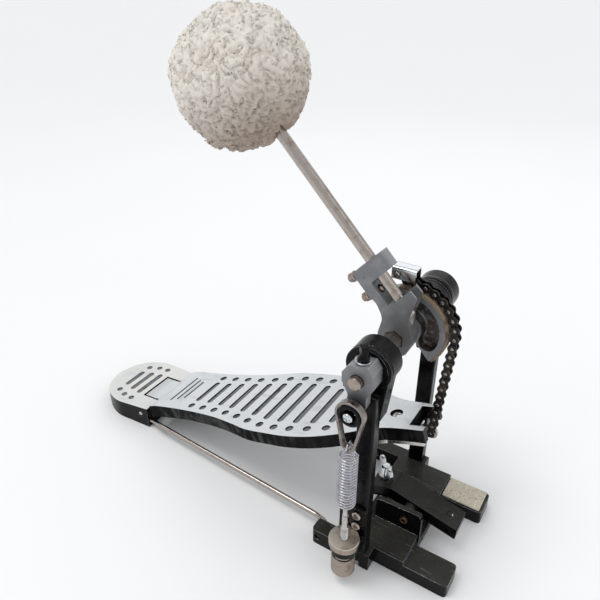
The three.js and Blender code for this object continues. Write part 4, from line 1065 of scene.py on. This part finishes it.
# ------------------------------------------------------------------------------------- spring side
def spring_hub():
    outline = rounded([(-5.3, 8.6), (5.9, 10.2), (9.2, 5), (9.4, -3.6), (6, -9), (6, -16), (3.5, -23), (-3.5, -23),
                       (-6, -16), (-5, -11), (-9.3, -3), (-9.3, 3)],
                      [0.8, 0.8, 0.8, 2.5, 4, 4, 4, 4, 4, 4, 2.5, 0.8])
    body = join(prism(outline, -60, -54, "y"),
                common(prism(outline, -59.9, -48, "y"), block((-12, 12), (-61, -47), (-9, 14))))
    body = cut(body, bar("y", 4.25, -70, -40, (0, 0), 64), bar("z", 2.6, 2, 14, (0.4, -54)),
               bar("y", 2, -70, -50, (0, -19)))
    place(bevelled(painted(body, GREY), 0.6, 3), "spring_hub", "rotor", "cast_grey", ROTOR)
    stem = turned((0.4, -54, 4.4), (0.4, -54, 15.4), [(0, 1.8), (0.4, 2.2), (6.9, 2.2), (7.0, 3.4), (7.8, 3.5),
                                                      (9.2, 2.4), (11, 2.3)], 40)
    head = bevelled(bar("z", 3.0, 14.6, 19.6, (0.4, -54), 4, 0.45, math.pi / 4), 0.3)
    made = smoothed(painted(together(stem, head), BLACK))
    place(made, "hub_key_screw", "rotor", "steel", ROTOR)
    washer = ring("z", 4.7, 2.5, 10.1, 11.2, (0.4, -54))
    place(bevelled(painted(washer, CHROME), 0.3, 3), "hub_washer", "rotor", "chrome", ROTOR)
    screw = turned((0, -70.2, -19), (0, -54.4, -19), [(0, 1.5), (0.25, 2.3), (0.9, 2.9), (1.8, 2.9), (1.8, 1.7),
                                                       (15.8, 1.7)], 40)
    cross = [block((-2.1, 2.1), (-71, -69.3), (-19.45, -18.55)), block((-0.45, 0.45), (-71, -69.3), (-21.1, -16.9))]
    place(bevelled(painted(cut(screw, cross), CHROME), 0.12), "swivel_screw", "rotor", "steel", ROTOR)


def strap():
    disc = turned((0, -68.1, 0), (0, -60.6, 0), [(0, 6.1), (0.35, 6.9), (0.8, 7.1), (6.9, 7.1), (7.5, 6.6)], 72)
    disc = cut(disc, bar("y", 5.0, -70, -66.9, (0, 0), 64), bar("y", 3.9, -80, -50, (0, 0), 48))
    place(bevelled(painted(disc, BLACK), 0.25), "swivel_disc", "strap", "black_paint", SWIVEL)
    lean = math.degrees(0.35)

    def loop(upper, lower):
        return [*arc(0, 0, upper, -lean, 180 + lean, 40), *arc(0, -20.5, lower, 180 + lean, 360 - lean, 30)]

    body = cut(prism(loop(9, 5), -67.6, -63.4, "y"), prism(loop(7.5, 3.2), -70, -60, "y"))
    place(bevelled(painted(body, GUNMETAL), 0.5, 3), "strap", "strap", "gunmetal", SWIVEL)


def coil_spring():
    """A wire wound into a barrel, with a smaller first turn and a hook rising from its last one."""
    wire, turns, radius, low, high, steps = 0.55, 18, 5.4, 67.6, 108, 28
    foot = [(-2.2, 0.4, 69.6), (-1.6, -1.9, 68.6), (0.4, -2.6, 67.9), (2.6, -1.7, 67.4)]
    path = [Vector(p) for p in foot]
    for k in range(turns * steps + 1):
        t = k / (turns * steps)
        angle = 2 * math.pi * turns * t
        pinch = 1.5 * max(0, 1 - t * turns) ** 1.5
        path.append(Vector(((radius - pinch) * math.cos(angle), (radius - pinch) * math.sin(angle),
                            low + (high - low) * t)))
    hook = [(4.9, 2.6, 108.3), (2.6, 3.6, 108.9), (0.4, 2.4, 109.9), (0, 0.2, 111.2), (0, -2.3, 112.4),
            (0, -3.2, 114.2), (0, -2.3, 116), (0, 0, 116.8), (0, 2.2, 116), (0, 3.0, 114.3), (0, 2.6, 112.9)]
    path += [Vector((x, y, z)) for x, y, z in smooth_line(hook, 5)]
    made = smoothed(painted(sweep(path, wire, 10), SPRING_ZINC), 60)
    made.data.transform(Matrix.Scale(MM, 4) @ SPRING_LINE)
    made.name = made.data.name = "spring_coil"
    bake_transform(made)
    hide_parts("spring")


def threaded(low, high, radius, pitch=0.8, depth=0.3):
    steps = int((high - low) / (pitch / 2))
    return [(low + pitch / 2 * k, radius - depth * (k % 2)) for k in range(steps + 1)]


def tension_rod():
    bottom, hook = 12, 62.5
    thread = [(d - bottom, r) for d, r in threaded(bottom + 1, 48, 2.4)]
    shank = turned((0, 0, bottom), (0, 0, 60), [(0, 1.8), *thread, (36.5, 1.9), (46, 1.9)], 40)
    wire = tube([(0, 0, hook - 5), (0, 0, hook + 4.6), (1.6, 0, hook + 6.4)], 1.5, 20, 1.5)
    made = smoothed(painted(together(shank, wire), BRIGHT), 50)
    place(made, "tension_rod", "frame", "steel", SPRING_LINE)


def knurled(radius, low, high, bore, pitch, depth, rim=0.7):
    """A round nut with crossed diagonal knurling between two plain chamfered rims."""
    around, levels = 200, max(int((high - low) / 0.3), 8)
    profile = [low + (high - low) * k / levels for k in range(levels + 1)]
    points, faces = [], []
    for z in profile:
        edge = min(z - low, high - z)
        for k in range(around):
            angle = 2 * math.pi * k / around
            run = angle * radius
            crossed = abs(math.sin(math.pi * (run + z) / pitch)) + abs(math.sin(math.pi * (run - z) / pitch))
            r = radius - (depth * (1 - crossed / 2) if edge > rim else (rim - edge) * 0.6)
            points.append((r * math.cos(angle), r * math.sin(angle), z))
    for level in range(levels):
        for k in range(around):
            a, b = level * around, (level + 1) * around
            faces.append((a + k, a + (k + 1) % around, b + (k + 1) % around, b + k))
    last = levels * around
    body = from_mesh(points, [*faces, tuple(range(around)), tuple(range(last, last + around))])
    return cut(body, bar("z", bore, low - 1, high + 1))


def nuts():
    upper = painted(knurled(9.8, 32.8, 38, 2.7, 1.15, 0.34), NICKEL, PALE_NICKEL)
    # the faces that look up take the paler nickel: painted light on the nut's top
    repaint(upper, 1, lambda c, n: n.z > 0.5)
    place(smoothed(upper, 30), "upper_knurled_nut", "upper_nut", "nickel", SPRING_LINE)
    lower = painted(knurled(7.75, 9, 23.5, 2.7, 1.25, 0.34), NICKEL)
    place(smoothed(lower, 30), "lower_knurled_nut", "lower_nut", "nickel", SPRING_LINE)
    washer = ring("z", 6.6, 2.7, 24, 26.9)
    place(bevelled(painted(washer, BRIGHT), 0.5, 3), "nut_washer", "frame", "steel", SPRING_LINE)


def bracket():
    shelf = prism([(-9, -53.3), *arc(0, SPRING_Y, 8.3, 180, 360, 40), (9, -53.3)], 27.3, 32.5)
    flange = prism(rounded([(-9, 24), (9, 24), (9, 55), (-9, 55)], 2), -55.3, -53.3, "y")
    body = cut(join(shelf, flange), bar("z", 2.7, 20, 40, (0, SPRING_Y)),
               [bar("y", 1.9, -60, -50, (3.2, z)) for z in (41, 50)])
    place(bevelled(painted(body, BLACK, WORN_HIGHLIT), 0.45, 2, edge=1), "spring_bracket", "frame", "black_paint")
    for word, z in (("lower", 41), ("upper", 50)):
        screw = turned((3.2, -57.4, z), (3.2, -48, z), [(0, 2.2), (0.5, 2.9), (1.8, 3), (1.8, 1.6), (9.4, 1.6)], 40)
        hexed = cut(screw, bar("y", 1.4, -59, -56.3, (3.2, z), 6))
        place(bevelled(painted(hexed, STEEL), 0.15), f"{word}_bracket_screw", "frame", "steel")


# ---------------------------------------------------------------------------------------- the pedal
base_casting()
upright(-1, "near")
upright(1, "far")
clamp()
heel_plate()
footboard()
toe()
radius_rods()
shaft()
holder()
beater()
fleece()
wheel()
chain()
clip()
spring_hub()
strap()
coil_spring()
tension_rod()
nuts()
bracket()
for node, look in (("near_upright_screw", STEEL), ("far_upright_screw", STEEL), ("beater_core", CORE)):
    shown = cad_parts[node]
    shown.data.materials.clear()
    shown.data.materials.append(look)
